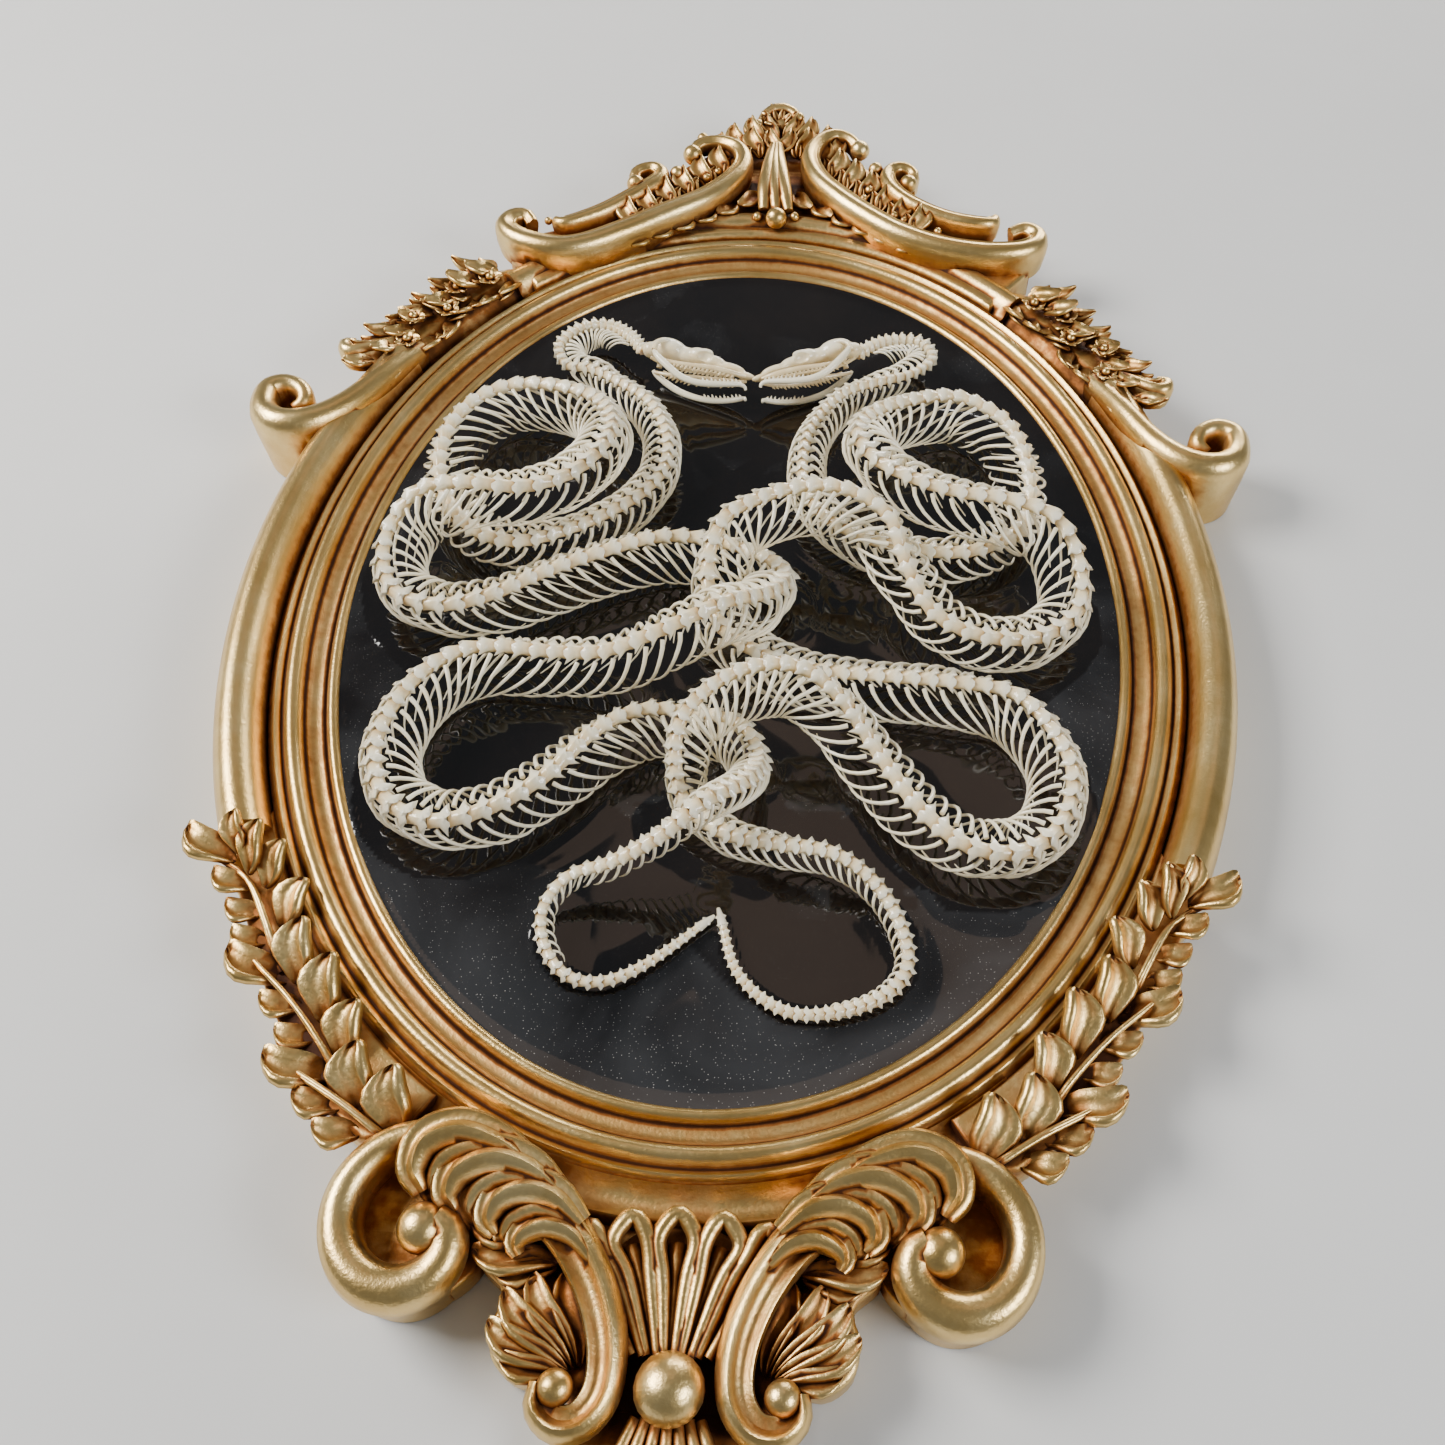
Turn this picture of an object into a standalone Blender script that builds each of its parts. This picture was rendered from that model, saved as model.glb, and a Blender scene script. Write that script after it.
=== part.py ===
"""Two snake skeletons, nose to nose, set in black resin in an oval gilt frame that lies on its back.

+X is to the right, +Y towards the top of the frame, and +Z up, out of the picture.
The origin is the centre of the oval opening, on the flat back.
"""

import math

import bmesh
import bpy
import numpy as np
from mathutils import Vector

MM = 0.001
GAP = 0.3 * MM  # between pieces that touch

# The oval opening and its mouldings.
OPENING_HALF_WIDTH = 77.5 * MM
OPENING_HALF_LENGTH = 105 * MM
RESIN_HEIGHT = 9 * MM
MOULDING_WIDTH = 13 * MM
TORUS_WIDTH = 9.5 * MM
TORUS_HEIGHT = 16 * MM
OVAL_STEPS = 44

# The carved ornaments round the oval.
CROWN_Y = 170 * MM
CROWN_HEIGHT = 14 * MM
CROWN_TILT = 0.035  # the crown sits a little askew on the oval
CROWN_SHIFT = 1.4 * MM
SWAG_HEIGHT = 14.5 * MM
SWAG_LOBES = 7
SIDE_VOLUTE = (101 * MM, 46 * MM)
SIDE_VOLUTE_RADIUS = 9 * MM
SIDE_VOLUTE_HEIGHT = 18 * MM
LAUREL_HEIGHT = 14 * MM
LAUREL_LEAVES = 8
FOOT_HEIGHT = 6.4 * MM
LEAF_HEIGHT = 7.6 * MM
FAN_HEIGHT = 12 * MM
BIG_VOLUTE_EYE = (40 * MM, -126 * MM)
BIG_VOLUTE_RADIUS = 11.2 * MM
VOLUTE_THICKNESS = 4.6 * MM  # radius of its bar at the thickest
SMALL_VOLUTE_EYE = (15.8 * MM, -148 * MM)
SMALL_VOLUTE_RADIUS = 5.4 * MM
BOSS = (0.0, -147 * MM)
BOSS_RADIUS = 5.2 * MM
PENDANT_Y = -190 * MM

# The skeletons. A route lists x, y and the height of the backbone over the resin, in millimetres.
VERTEBRA_PITCH = 4.8 * MM
PLAIN_PITCH = 8.2 * MM  # between the rings of the plainer skeleton
CAGE_HALF_WIDTH = 6.2 * MM
CAGE_DEPTH = 9.4 * MM
RIB_THICKNESS = 0.75 * MM
INNER_REACH = 0.5  # of a bend's radius, for the ribs on its inner side
FIRST_RIB = 2  # the vertebra that carries it
LAST_RIB = 0.90  # as a share of the length
LEAN_LIMIT = 0.4  # radians, in the tightest bends
NECK_END = 0.10
TAIL_START = 0.905
HEAD_ROLL = math.radians(68)

FIRST_SNAKE_HEAD = ((-24.4, 65.8, 7.9), (-1.5, 61.4, 7.1))
FIRST_SNAKE_NECK = [
    (-25.6, 67.2, 7.8), (-29.2, 72.8, 7.2), (-34.5, 77.0, 6.4), (-40.5, 75.9, 6.5),
    (-44.6, 69.0, 7.0), (-42.2, 62.1, 7.5), (-36.4, 60.5, 8.0), (-29.5, 56.0, 8.5),
]
FIRST_SNAKE_BODY = [
    (-22.5, 50.0, 9.0), (-17.8, 40.4, 9.5), (-17.2, 30.6, 9.0), (-21.2, 22.6, 8.8),
    (-28.2, 15.9, 8.8), (-36.3, 10.6, 8.8), (-45.4, 7.4, 8.8), (-54.7, 10.8, 8.5),
    (-61.9, 20.1, 9.0), (-64.2, 31.7, 10.5), (-61.4, 43.2, 10.5), (-53.9, 50.4, 10.5),
    (-44.1, 51.1, 11.0), (-33.8, 46.5, 12.5), (-28.2, 36.0, 16.5), (-29.0, 24.5, 19.4),
    (-34.6, 16.2, 19.6), (-43.6, 12.1, 19.6), (-53.8, 12.4, 19.8), (-63.4, 12.6, 17.0),
    (-69.4, 7.8, 12.0), (-69.8, -0.9, 10.5), (-65.4, -8.9, 10.5), (-56.6, -11.4, 10.5),
    (-47.6, -8.4, 10.5), (-38.3, -2.2, 10.5), (-27.9, 3.7, 10.5), (-16.1, 9.2, 10.0),
    (-5.4, 10.0, 8.8), (4.6, 6.5, 8.8), (9.8, 0.6, 10.0), (7.0, -8.0, 15.0),
    (-1.0, -15.4, 20.2), (-12.5, -20.6, 17.5), (-23.5, -22.0, 12.0), (-34.6, -21.5, 10.5),
    (-46.4, -21.1, 10.5), (-54.7, -25.4, 10.5), (-60.2, -34.3, 10.5), (-62.0, -45.1, 10.5),
    (-58.1, -55.3, 10.5), (-49.5, -59.7, 10.5), (-39.9, -56.7, 10.5), (-30.8, -49.3, 10.5),
    (-23.3, -39.4, 10.5), (-15.6, -33.8, 10.0), (-6.4, -32.8, 8.8), (2.8, -35.0, 8.8),
    (7.0, -42.8, 10.0), (5.6, -51.0, 15.4), (-1.4, -58.4, 19.2), (-9.0, -63.5, 15.0),
    (-17.4, -65.8, 9.5),
]
FIRST_SNAKE_TAIL = [
    (-24.5, -67.5, 7.0), (-28.2, -72.5, 5.5), (-27.9, -78.2, 4.5), (-24.9, -83.0, 4.0),
    (-20.6, -85.2, 3.5), (-15.2, -84.4, 3.0), (-8.6, -80.0, 2.5), (-0.5, -72.4, 2.0),
]
SECOND_SNAKE_HEAD = ((22.9, 69.0, 7.9), (0.9, 60.9, 7.1))
SECOND_SNAKE_NECK = [
    (22.3, 69.2, 7.8), (27.3, 74.0, 7.2), (32.8, 76.8, 6.4), (37.9, 76.0, 6.5),
    (39.8, 70.0, 7.0), (35.0, 64.4, 7.5), (27.3, 60.5, 8.0), (20.4, 56.2, 8.5),
]
SECOND_SNAKE_BODY = [
    (15.1, 48.2, 9.0), (12.2, 38.5, 9.5), (12.4, 27.0, 8.8), (17.0, 18.6, 8.8),
    (24.8, 13.8, 8.0), (33.5, 11.8, 7.8), (43.1, 10.4, 8.2), (51.6, 12.6, 8.8),
    (57.8, 19.2, 8.0), (60.0, 27.8, 8.8), (58.4, 39.2, 10.5), (54.2, 48.3, 10.5),
    (45.4, 53.9, 10.5), (35.7, 51.6, 11.5), (26.9, 44.4, 14.0), (23.0, 34.2, 18.0),
    (27.0, 24.6, 19.6), (35.0, 19.4, 19.6), (43.7, 16.4, 19.6), (54.2, 14.6, 19.8),
    (62.9, 11.2, 18.6), (67.5, 4.0, 14.0), (67.2, -5.2, 10.5), (59.5, -12.1, 10.5),
    (48.8, -12.8, 10.5), (39.2, -8.4, 11.5), (33.6, 0.4, 14.5), (29.4, 9.8, 18.6),
    (21.4, 15.0, 20.0), (12.8, 15.6, 19.8), (4.1, 11.6, 20.4), (-2.9, 5.4, 20.0),
    (-5.4, -2.6, 13.8), (-2.6, -11.0, 8.6), (4.6, -17.6, 8.8), (13.8, -21.2, 8.8),
    (24.6, -22.2, 9.0), (41.3, -24.1, 10.5), (53.6, -26.2, 10.5), (60.6, -34.2, 10.5),
    (63.6, -43.5, 10.5), (61.0, -53.9, 10.5), (54.1, -60.0, 10.5), (44.6, -59.7, 10.5),
    (35.9, -52.4, 10.5), (28.2, -41.8, 12.0), (21.6, -34.2, 16.5), (14.0, -29.6, 19.6),
    (5.5, -29.8, 19.8), (-2.4, -34.6, 19.2), (-7.4, -42.6, 17.4), (-6.2, -51.6, 9.6),
    (1.6, -57.6, 8.1), (11.0, -59.8, 8.5), (20.4, -61.1, 8.5),
]
SECOND_SNAKE_TAIL = [
    (27.1, -64.6, 7.0), (32.0, -70.8, 5.5), (34.3, -78.7, 4.5), (32.1, -83.9, 4.0),
    (26.3, -87.4, 3.5), (17.1, -89.2, 3.0), (10.4, -86.7, 2.5), (5.0, -80.9, 2.2),
    (1.9, -71.4, 2.0),
]
TRUNK_LENGTHS = 7


# Materials -------------------------------------------------------------------------------------

def material(name, colour, roughness, metallic=0.0):
    made = bpy.data.materials.get(name)
    if made is None:
        made = bpy.data.materials.new(name)
        made.use_nodes = True
        shader = made.node_tree.nodes["Principled BSDF"]
        shader.inputs["Base Color"].default_value = (*colour, 1.0)
        shader.inputs["Roughness"].default_value = roughness
        shader.inputs["Metallic"].default_value = metallic
    return made


def gilt():
    return material("gilt", (0.62, 0.44, 0.22), 0.38, 0.9)


def resin():
    return material("resin", (0.012, 0.010, 0.010), 0.08)


def bone():
    return material("bone", (0.84, 0.78, 0.64), 0.35)


# Placing and converting ------------------------------------------------------------------------

def collection(name, hidden=False):
    made = bpy.data.collections.new(name)
    bpy.context.scene.collection.children.link(made)
    made.hide_render = hidden
    return made


def add(obj, name, finish):
    for home in obj.users_collection:
        home.objects.unlink(obj)
    obj.name = name
    obj.data.name = name
    obj.data.materials.append(finish)
    PARTS.objects.link(obj)
    return obj


def guide(obj):
    """A profile or cutter: it shapes other pieces and isn't one itself."""
    obj.hide_render = True
    obj.display_type = "WIRE"
    GUIDES.objects.link(obj)
    return obj


def face_outwards(shape):
    bmesh.ops.recalc_face_normals(shape, faces=shape.faces)
    if shape.calc_volume(signed=True) < 0:
        bmesh.ops.reverse_faces(shape, faces=shape.faces)


def mesh_object(name, verts, faces):
    mesh = bpy.data.meshes.new(name)
    mesh.from_pydata([tuple(v) for v in verts], [], faces)
    shape = bmesh.new()
    shape.from_mesh(mesh)
    face_outwards(shape)
    shape.to_mesh(mesh)
    shape.free()
    mesh.shade_smooth()
    mesh.set_sharp_from_angle(angle=math.radians(35))
    return bpy.data.objects.new(name, mesh)


def baked(obj):
    """The object's evaluated shape as a plain mesh object, in place of it."""
    bpy.context.scene.collection.objects.link(obj)
    graph = bpy.context.evaluated_depsgraph_get()
    mesh = bpy.data.meshes.new_from_object(obj.evaluated_get(graph))
    shape = bmesh.new()
    shape.from_mesh(mesh)
    bmesh.ops.remove_doubles(shape, verts=shape.verts, dist=0.01 * MM)
    face_outwards(shape)
    shape.to_mesh(mesh)
    shape.free()
    made = bpy.data.objects.new(obj.name, mesh)
    made.matrix_world = obj.matrix_world
    bpy.data.objects.remove(obj)
    return made


def joined(name, pieces):
    """One closed solid made of pieces that overlap."""
    first = pieces[0]
    for other in pieces[1:]:
        union = first.modifiers.new("union", "BOOLEAN")
        union.operation = "UNION"
        union.object = guide(other)
    first.name = name
    return baked(first)


# Curves ----------------------------------------------------------------------------------------

def smooth(points, step):
    """Points at even steps along a Catmull-Rom curve through the given points."""
    points = np.array(points, float)
    ends = np.vstack([2 * points[0] - points[1], points, 2 * points[-1] - points[-2]])
    fine = []
    for p0, p1, p2, p3 in zip(ends, ends[1:], ends[2:], ends[3:]):
        for t in np.linspace(0, 1, 16, endpoint=False):
            fine.append(0.5 * (2 * p1 + (p2 - p0) * t + (2 * p0 - 5 * p1 + 4 * p2 - p3) * t ** 2
                               + (3 * p1 - p0 - 3 * p2 + p3) * t ** 3))
    fine.append(points[-1])
    fine = np.array(fine)
    lengths = np.linalg.norm(np.diff(fine[:, :3], axis=0), axis=1)
    along = np.concatenate([[0], np.cumsum(lengths)])
    wanted = np.linspace(0, along[-1], max(2, round(along[-1] / step) + 1))
    return np.stack([np.interp(wanted, along, column) for column in fine.T], axis=1)


def rod(name, points, radii, sides=2, cyclic=False):
    """A round bar along the points, with a radius at each."""
    curve = bpy.data.curves.new(name, "CURVE")
    curve.dimensions = "3D"
    curve.bevel_depth = 1.0
    curve.bevel_resolution = sides
    curve.use_fill_caps = True
    spline = curve.splines.new("POLY")
    spline.points.add(len(points) - 1)
    spline.use_cyclic_u = cyclic
    for bead, point, radius in zip(spline.points, points, radii):
        bead.co = (*point, 1.0)
        bead.radius = radius
    return bpy.data.objects.new(name, curve)


def plate(name, outline, bottom, top, rounding=0.0):
    """A flat piece of the given outline, from the height bottom to the height top."""
    curve = bpy.data.curves.new(name, "CURVE")
    curve.dimensions = "2D"
    curve.fill_mode = "BOTH"
    curve.extrude = (top - bottom) / 2
    spline = curve.splines.new("POLY")
    spline.points.add(len(outline) - 1)
    spline.use_cyclic_u = True
    for corner, (x, y) in zip(spline.points, outline):
        corner.co = (x, y, 0.0, 1.0)
    flat = bpy.data.objects.new(name, curve)
    flat.location.z = (top + bottom) / 2
    flat = baked(flat)
    if rounding:
        bevel = flat.modifiers.new("rounding", "BEVEL")
        bevel.width = rounding
        bevel.segments = 1
        bevel.limit_method = "ANGLE"
        bevel.angle_limit = math.radians(60)
    return flat


def oval(angle, out=0.0):
    """The point of the oval at this angle, moved outwards square to it."""
    x = OPENING_HALF_WIDTH * math.cos(angle)
    y = OPENING_HALF_LENGTH * math.sin(angle)
    normal = Vector((x / OPENING_HALF_WIDTH ** 2, y / OPENING_HALF_LENGTH ** 2)).normalized()
    return x + out * normal.x, y + out * normal.y


def oval_arc(start, end, out, steps):
    """Points along the oval between two angles in degrees."""
    return [oval(math.radians(a), out) for a in np.linspace(start, end, steps)]


def mirrored(points, side):
    """The points for the right (side 1) or left (side -1), in the same sense of turning."""
    if side > 0:
        return points
    return [(-point[0], *point[1:]) for point in points][::-1]


# The frame's oval ------------------------------------------------------------------------------

def moulding_profile():
    """Distance from the opening and height, in mm: bead, copper cove, bead and thin ridge."""
    return [
        (0.0, 0.0), (0.0, 9.0), (1.2, 10.2), (2.7, 8.8), (4.6, 8.6), (6.4, 10.2),
        (7.3, 12.2), (8.8, 12.4), (10.2, 10.9), (11.4, 11.6), (13.0, 9.4), (13.0, 0.0),
    ]


def resin_panel():
    bpy.ops.mesh.primitive_cylinder_add(vertices=OVAL_STEPS, radius=1.0, depth=RESIN_HEIGHT,
                                        location=(0, 0, RESIN_HEIGHT / 2))
    panel = bpy.context.object
    panel.scale = (OPENING_HALF_WIDTH - GAP, OPENING_HALF_LENGTH - GAP, 1.0)
    bpy.ops.object.transform_apply(location=True, scale=True)
    add(panel, "resin_panel", resin())


def swept(name, profile, angles, closed):
    """A profile carried along the oval."""
    verts = []
    for angle in angles:
        for out, height in profile:
            verts.append((*oval(angle, out * MM), height * MM))
    across = len(profile)
    faces = []
    for i in range(len(angles) if closed else len(angles) - 1):
        j = (i + 1) % len(angles)
        for k in range(across):
            n = (k + 1) % across
            faces.append((i * across + k, j * across + k, j * across + n, i * across + n))
    if not closed:
        faces.append(tuple(range(across)))
        faces.append(tuple(range(len(verts) - across, len(verts))))
    return mesh_object(name, verts, faces)


def oval_moulding():
    angles = [2 * math.pi * i / OVAL_STEPS for i in range(OVAL_STEPS)]
    add(swept("moulding_oval", moulding_profile(), angles, True), "moulding_oval", gilt())


def side_torus(side):
    """The broad smooth outer moulding, bare between the upper volute and the laurel."""
    inner = MOULDING_WIDTH / MM + 0.3
    top = TORUS_HEIGHT / MM
    middle = inner + TORUS_WIDTH / MM / 2
    half = TORUS_WIDTH / MM / 2
    profile = [(inner, 0.0)]
    for turn in np.linspace(math.pi, 0, 6):
        profile.append((middle + half * math.cos(turn), top - half + half * math.sin(turn)))
    profile.append((inner + TORUS_WIDTH / MM, 0.0))
    start, end = (-27.2, 17.0) if side > 0 else (163.0, 207.2)
    angles = [math.radians(a) for a in np.linspace(start, end, 11)]
    name = "torus_right" if side > 0 else "torus_left"
    add(swept(name, profile, angles, False), name, gilt())


# The frame's ornaments -------------------------------------------------------------------------

OUTSIDE = MOULDING_WIDTH + GAP  # where the outer band starts


def spiral(eye, radius, start, turns, steps, inner=0.3):
    """A scroll's centre line, from the outside in. It starts at this angle in degrees."""
    points = []
    for t in np.linspace(0, 1, steps):
        angle = math.radians(start) + turns * 2 * math.pi * t
        reach = radius * (1 - (1 - inner) * t)
        points.append((eye[0] + reach * math.cos(angle), eye[1] + reach * math.sin(angle)))
    return points


def askew(x, y):
    return x + CROWN_SHIFT, y + CROWN_TILT * x


def cartouche():
    """The crown: a plate that follows the oval, with two scroll arms and a drop on it."""
    half = [(61, 102), (65.5, 108), (64.5, 118), (55, 122.5), (44, 124), (36.5, 134), (30, 142),
            (22, 153.5), (12, 160), (6, 168)]
    crest = [(0.0, CROWN_Y)]
    outer = [(x * MM, y * MM) for x, y in half] + crest + [(-x * MM, y * MM) for x, y in half[::-1]]
    inner = oval_arc(126, 54, OUTSIDE, 13)
    base = plate("crown_plate", [askew(x, y) for x, y in outer] + inner, 0.0, CROWN_HEIGHT, 1.0 * MM)
    add(base, "crown_plate", gilt())
    for side, name in ((1, "crown_scroll_right"), (-1, "crown_scroll_left")):
        arm = [(16, 154), (10, 151), (8.5, 143), (12, 131.5), (20, 121), (31, 112), (43, 106.5),
               (54, 106), (61.5, 110), (60, 117)]
        places = [askew(side * x * MM, y * MM) for x, y in arm]
        points = smooth([(x, y, CROWN_HEIGHT + 3.6 * MM) for x, y in places], 6.5 * MM)
        radii = [(1.9 + 1.5 * math.sin(math.pi * i / (len(points) - 1))) * MM
                 for i in range(len(points))]
        add(baked(rod(name, points, radii, 1)), name, gilt())
    drop = [(*askew(0.0, y * MM), CROWN_HEIGHT + 4.0 * MM) for y in (165, 154, 144, 134, 125, 119)]
    add(baked(rod("crown_drop", drop, [r * MM for r in (2.4, 3.4, 3.8, 3.2, 2.6, 1.2)], 1)),
        "crown_drop", gilt())


def swag(side):
    """The band of leaves and flowers beside the crown."""
    start, end = 52.5, 31.0
    inner = oval_arc(start, end, OUTSIDE, 7)
    outer = []
    for i in range(2 * SWAG_LOBES + 1):
        t = i / (2 * SWAG_LOBES)
        angle = math.radians(end + 0.8 + (start - end - 0.8) * t)
        outer.append(oval(angle, OUTSIDE + ((13.0 if i % 2 else 9.8) + 2.5 * (1 - t)) * MM))
    name = "swag_right" if side > 0 else "swag_left"
    outline = mirrored(inner + outer, side)
    add(plate(name, outline, 0.0, SWAG_HEIGHT, 1.6 * MM), name, gilt())


def side_volute(side):
    """The scroll that stands out from the frame's shoulder."""
    x, y = SIDE_VOLUTE
    foot = oval_arc(30.0, 18.6, OUTSIDE, 5)
    curl = []
    for angle in np.linspace(-80, 125, 12):
        turn = math.radians(angle)
        curl.append((x + SIDE_VOLUTE_RADIUS * math.cos(turn), y + SIDE_VOLUTE_RADIUS * math.sin(turn)))
    name = "side_volute_right" if side > 0 else "side_volute_left"
    outline = mirrored(foot + curl, side)
    add(plate(name, outline, 0.0, SIDE_VOLUTE_HEIGHT, 2.0 * MM), name, gilt())


def laurel(side):
    """The branch of paired leaves on the lower shoulder, as one piece with its leaf tips."""
    start, end = -28.0, -61.0
    inner = oval_arc(start, end, OUTSIDE, 9)
    outer = []
    for i in range(2 * LAUREL_LEAVES - 1):
        t = (i + 0.5) / (2 * LAUREL_LEAVES)
        angle = math.radians(end + (start - end) * t)
        outer.append(oval(angle, OUTSIDE + (14.5 if i % 2 else 9.0) * MM))
    tip = [(95 * MM, -62 * MM), (89.5 * MM, -59.2 * MM)]
    name = "laurel_right" if side > 0 else "laurel_left"
    outline = mirrored(inner[::-1] + tip[::-1] + outer[::-1], side)
    add(plate(name, outline, 0.0, LAUREL_HEIGHT, 1.6 * MM), name, gilt())


def big_volute(side):
    """The large scroll at the foot of the oval, its arm and the small scroll that ends it."""
    curl = spiral(BIG_VOLUTE_EYE, BIG_VOLUTE_RADIUS, 105, -0.9, 12, 0.32)[::-1]
    arm = [(29, -117.4), (20.5, -121.5), (13.8, -129.0), (10.8, -137.0), (11.0, -143.5)]
    small = spiral(SMALL_VOLUTE_EYE, SMALL_VOLUTE_RADIUS, 182, 0.8, 7, 0.6)
    path = [(x, y) for x, y in curl] + [(x * MM, y * MM) for x, y in arm] + small
    height = FOOT_HEIGHT + GAP + VOLUTE_THICKNESS
    points = smooth([(side * x, y, height) for x, y in path], 5.6 * MM)
    count = len(points) - 1
    radii = [VOLUTE_THICKNESS * (0.52 + 0.48 * math.sin(math.pi * min(1.0, 1.25 * i / count)))
             for i in range(count + 1)]
    name = "foot_volute_right" if side > 0 else "foot_volute_left"
    add(baked(rod(name, points, radii, 1)), name, gilt())


def acanthus(side):
    """The leaf outside the scroll's arm, lobed along its outer edge."""
    inner = [(17, -133.6), (15, -139), (17.5, -143.5)]
    outer = [(22, -146), (24, -143.5), (28.5, -144), (28, -141), (31.5, -139.5), (29, -136.8),
             (31, -134.2), (26, -131.5)]
    name = "acanthus_right" if side > 0 else "acanthus_left"
    outline = mirrored([(x * MM, y * MM) for x, y in inner + outer], side)
    add(plate(name, outline, 0.0, LEAF_HEIGHT, 1.0 * MM), name, gilt())


def foot_plate():
    """What the scrolls, the fan and the boss stand on, with a round lobe below each big scroll."""
    inner = oval_arc(-62.0, -118.0, OUTSIDE, 13)
    x, y = BIG_VOLUTE_EYE
    reach = BIG_VOLUTE_RADIUS
    right = [(46 * MM, -110 * MM)]
    for angle in range(60, -166, -25):
        turn = math.radians(angle)
        right.append((x + reach * math.cos(turn), y + reach * math.sin(turn)))
    right += [(24 * MM, -127 * MM), (15.4 * MM, -131 * MM), (12 * MM, -151 * MM)]
    left = [(-x, y) for x, y in right]
    add(plate("foot_plate", inner + left + right[::-1], 0.0, FOOT_HEIGHT), "foot_plate", gilt())


def fan():
    """The five-fluted shell between the two arms."""
    outline = []
    for i in range(11):
        angle = math.radians(145 - 11 * i)
        reach = 21.5 if i % 2 else 23.5
        outline.append((0.46 * reach * math.cos(angle) * MM, (-145.5 + reach * math.sin(angle)) * MM))
    outline += [(4.0 * MM, -140.8 * MM), (-4.0 * MM, -140.8 * MM)]
    fluted = plate("fan", outline[::-1], FOOT_HEIGHT + GAP, FAN_HEIGHT, 0.8 * MM)
    add(fluted, "fan", gilt())


def boss():
    bpy.ops.mesh.primitive_uv_sphere_add(segments=12, ring_count=8, radius=BOSS_RADIUS,
                                         location=(*BOSS, FOOT_HEIGHT + GAP + BOSS_RADIUS))
    ball = bpy.context.object
    add(ball, "boss", gilt())


def pendant():
    """The frame's lower end: a leaf that closes the foot below the boss."""
    outline = [(-17, -153), (-15, -161), (-11, -165), (-12, -171), (-7.5, -174.5), (-8, -180),
               (-3, -185)]
    half = [(x * MM, y * MM) for x, y in outline]
    right = [(-x, y) for x, y in half][::-1]
    leaf = plate("pendant", half + [(0.0, PENDANT_Y)] + right, 0.0, LEAF_HEIGHT, 0.8 * MM)
    add(leaf, "pendant", gilt())


# The skeletons ---------------------------------------------------------------------------------

def frames(route, pitch, roll_side):
    """Along a route: places, headings towards the tail, and the sideways and upward directions.

    The body leans out of its bends, so that the backbone runs on the outside of each, and the
    neck lies on its side like the head, to this side of the way it goes.
    """
    points = smooth([(x * MM, y * MM, h * MM + RESIN_HEIGHT) for x, y, h in route], pitch)
    heading = np.gradient(points, axis=0)
    heading /= np.linalg.norm(heading, axis=1)[:, None]
    flat = heading.copy()
    flat[:, 2] = 0
    flat /= np.linalg.norm(flat, axis=1)[:, None]
    turn = np.gradient(np.unwrap(np.arctan2(flat[:, 1], flat[:, 0]))) / pitch  # left turns positive
    turn = np.convolve(np.pad(turn, 2, "edge"), np.ones(5) / 5, "valid")
    level = np.stack([flat[:, 1], -flat[:, 0], 0 * flat[:, 0]], axis=1)  # to the heading's right
    rolled = np.clip(1.25 - np.arange(len(points)) * pitch / (46 * MM), 0, 1)
    lean = np.clip(4.2 * MM * turn, -LEAN_LIMIT, LEAN_LIMIT) * (1 - rolled) + roll_side * HEAD_ROLL * rolled
    lean = lean[:, None]
    up = np.cross(level, heading)
    side = level * np.cos(lean) - up * np.sin(lean)
    up = np.cross(side, heading)
    return points, heading, side, up, turn


def body_size(along):
    """Half width and depth of the rib cage, from 0 at the head to 1 at the tail's tip."""
    grown = min(1.0, 0.52 + 2.2 * along)
    tail = max(0.0, (along - 0.86) / 0.14)
    size = grown * (1 - 0.80 * tail ** 0.7)
    return CAGE_HALF_WIDTH * size, CAGE_DEPTH * size


def vertebra_size(along):
    """Half width of the backbone."""
    width, _ = body_size(along)
    return 0.9 * MM + 0.2 * width


def rib_curve(width, depth, sweep, steps):
    """Points of a rib as distances sideways, down and back, from the backbone to the tip."""
    points = []
    for t in np.linspace(0, 1, steps + 1)[1:]:
        turn = math.radians(24 + 128 * t)
        points.append((width * math.sin(turn), depth * (1 - math.cos(turn)) / 1.88, sweep * t ** 1.3))
    return points


def half_body(name, route, span, side_sign):
    """One side of a length of the skeleton: half the backbone, with the ribs that grow from it."""
    points, heading, side, up, _ = route
    first, last = span
    total = len(points) - 1
    verts = []
    faces = []
    for i in range(first, last + 1):
        along = i / total
        half = vertebra_size(along)
        shift = heading[i] * (GAP / 2 if i == first else -GAP / 2 if i == last else 0.0)
        for out, rise in ((0.15 * MM, 0.62 * half + 0.5 * MM), (half, 0.25 * half), (half, -0.3 * half),
                          (0.15 * MM, -0.55 * half)):
            verts.append(points[i] + shift + side_sign * side[i] * out + up[i] * rise)
    for i in range(last - first):
        near, far = 4 * i, 4 * i + 4
        faces.append((near, near + 1, far + 1, far))
        faces.append((near + 2, near + 3, far + 3, far + 2))
        faces.append((near + 3, near, far, far + 3))
        if has_rib(i + first, total):
            faces.append((near + 1, far + 2, far + 1))
            add_rib(verts, faces, (near + 1, near + 2, far + 2), route, i + first, side_sign)
        else:
            faces.append((near + 1, near + 2, far + 2, far + 1))
    faces.append((0, 1, 2, 3))
    final = 4 * (last - first)
    faces.append((final + 3, final + 2, final + 1, final))
    return mesh_object(name, verts, faces)


def has_rib(index, total):
    return index >= FIRST_RIB and index / total < LAST_RIB


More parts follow.
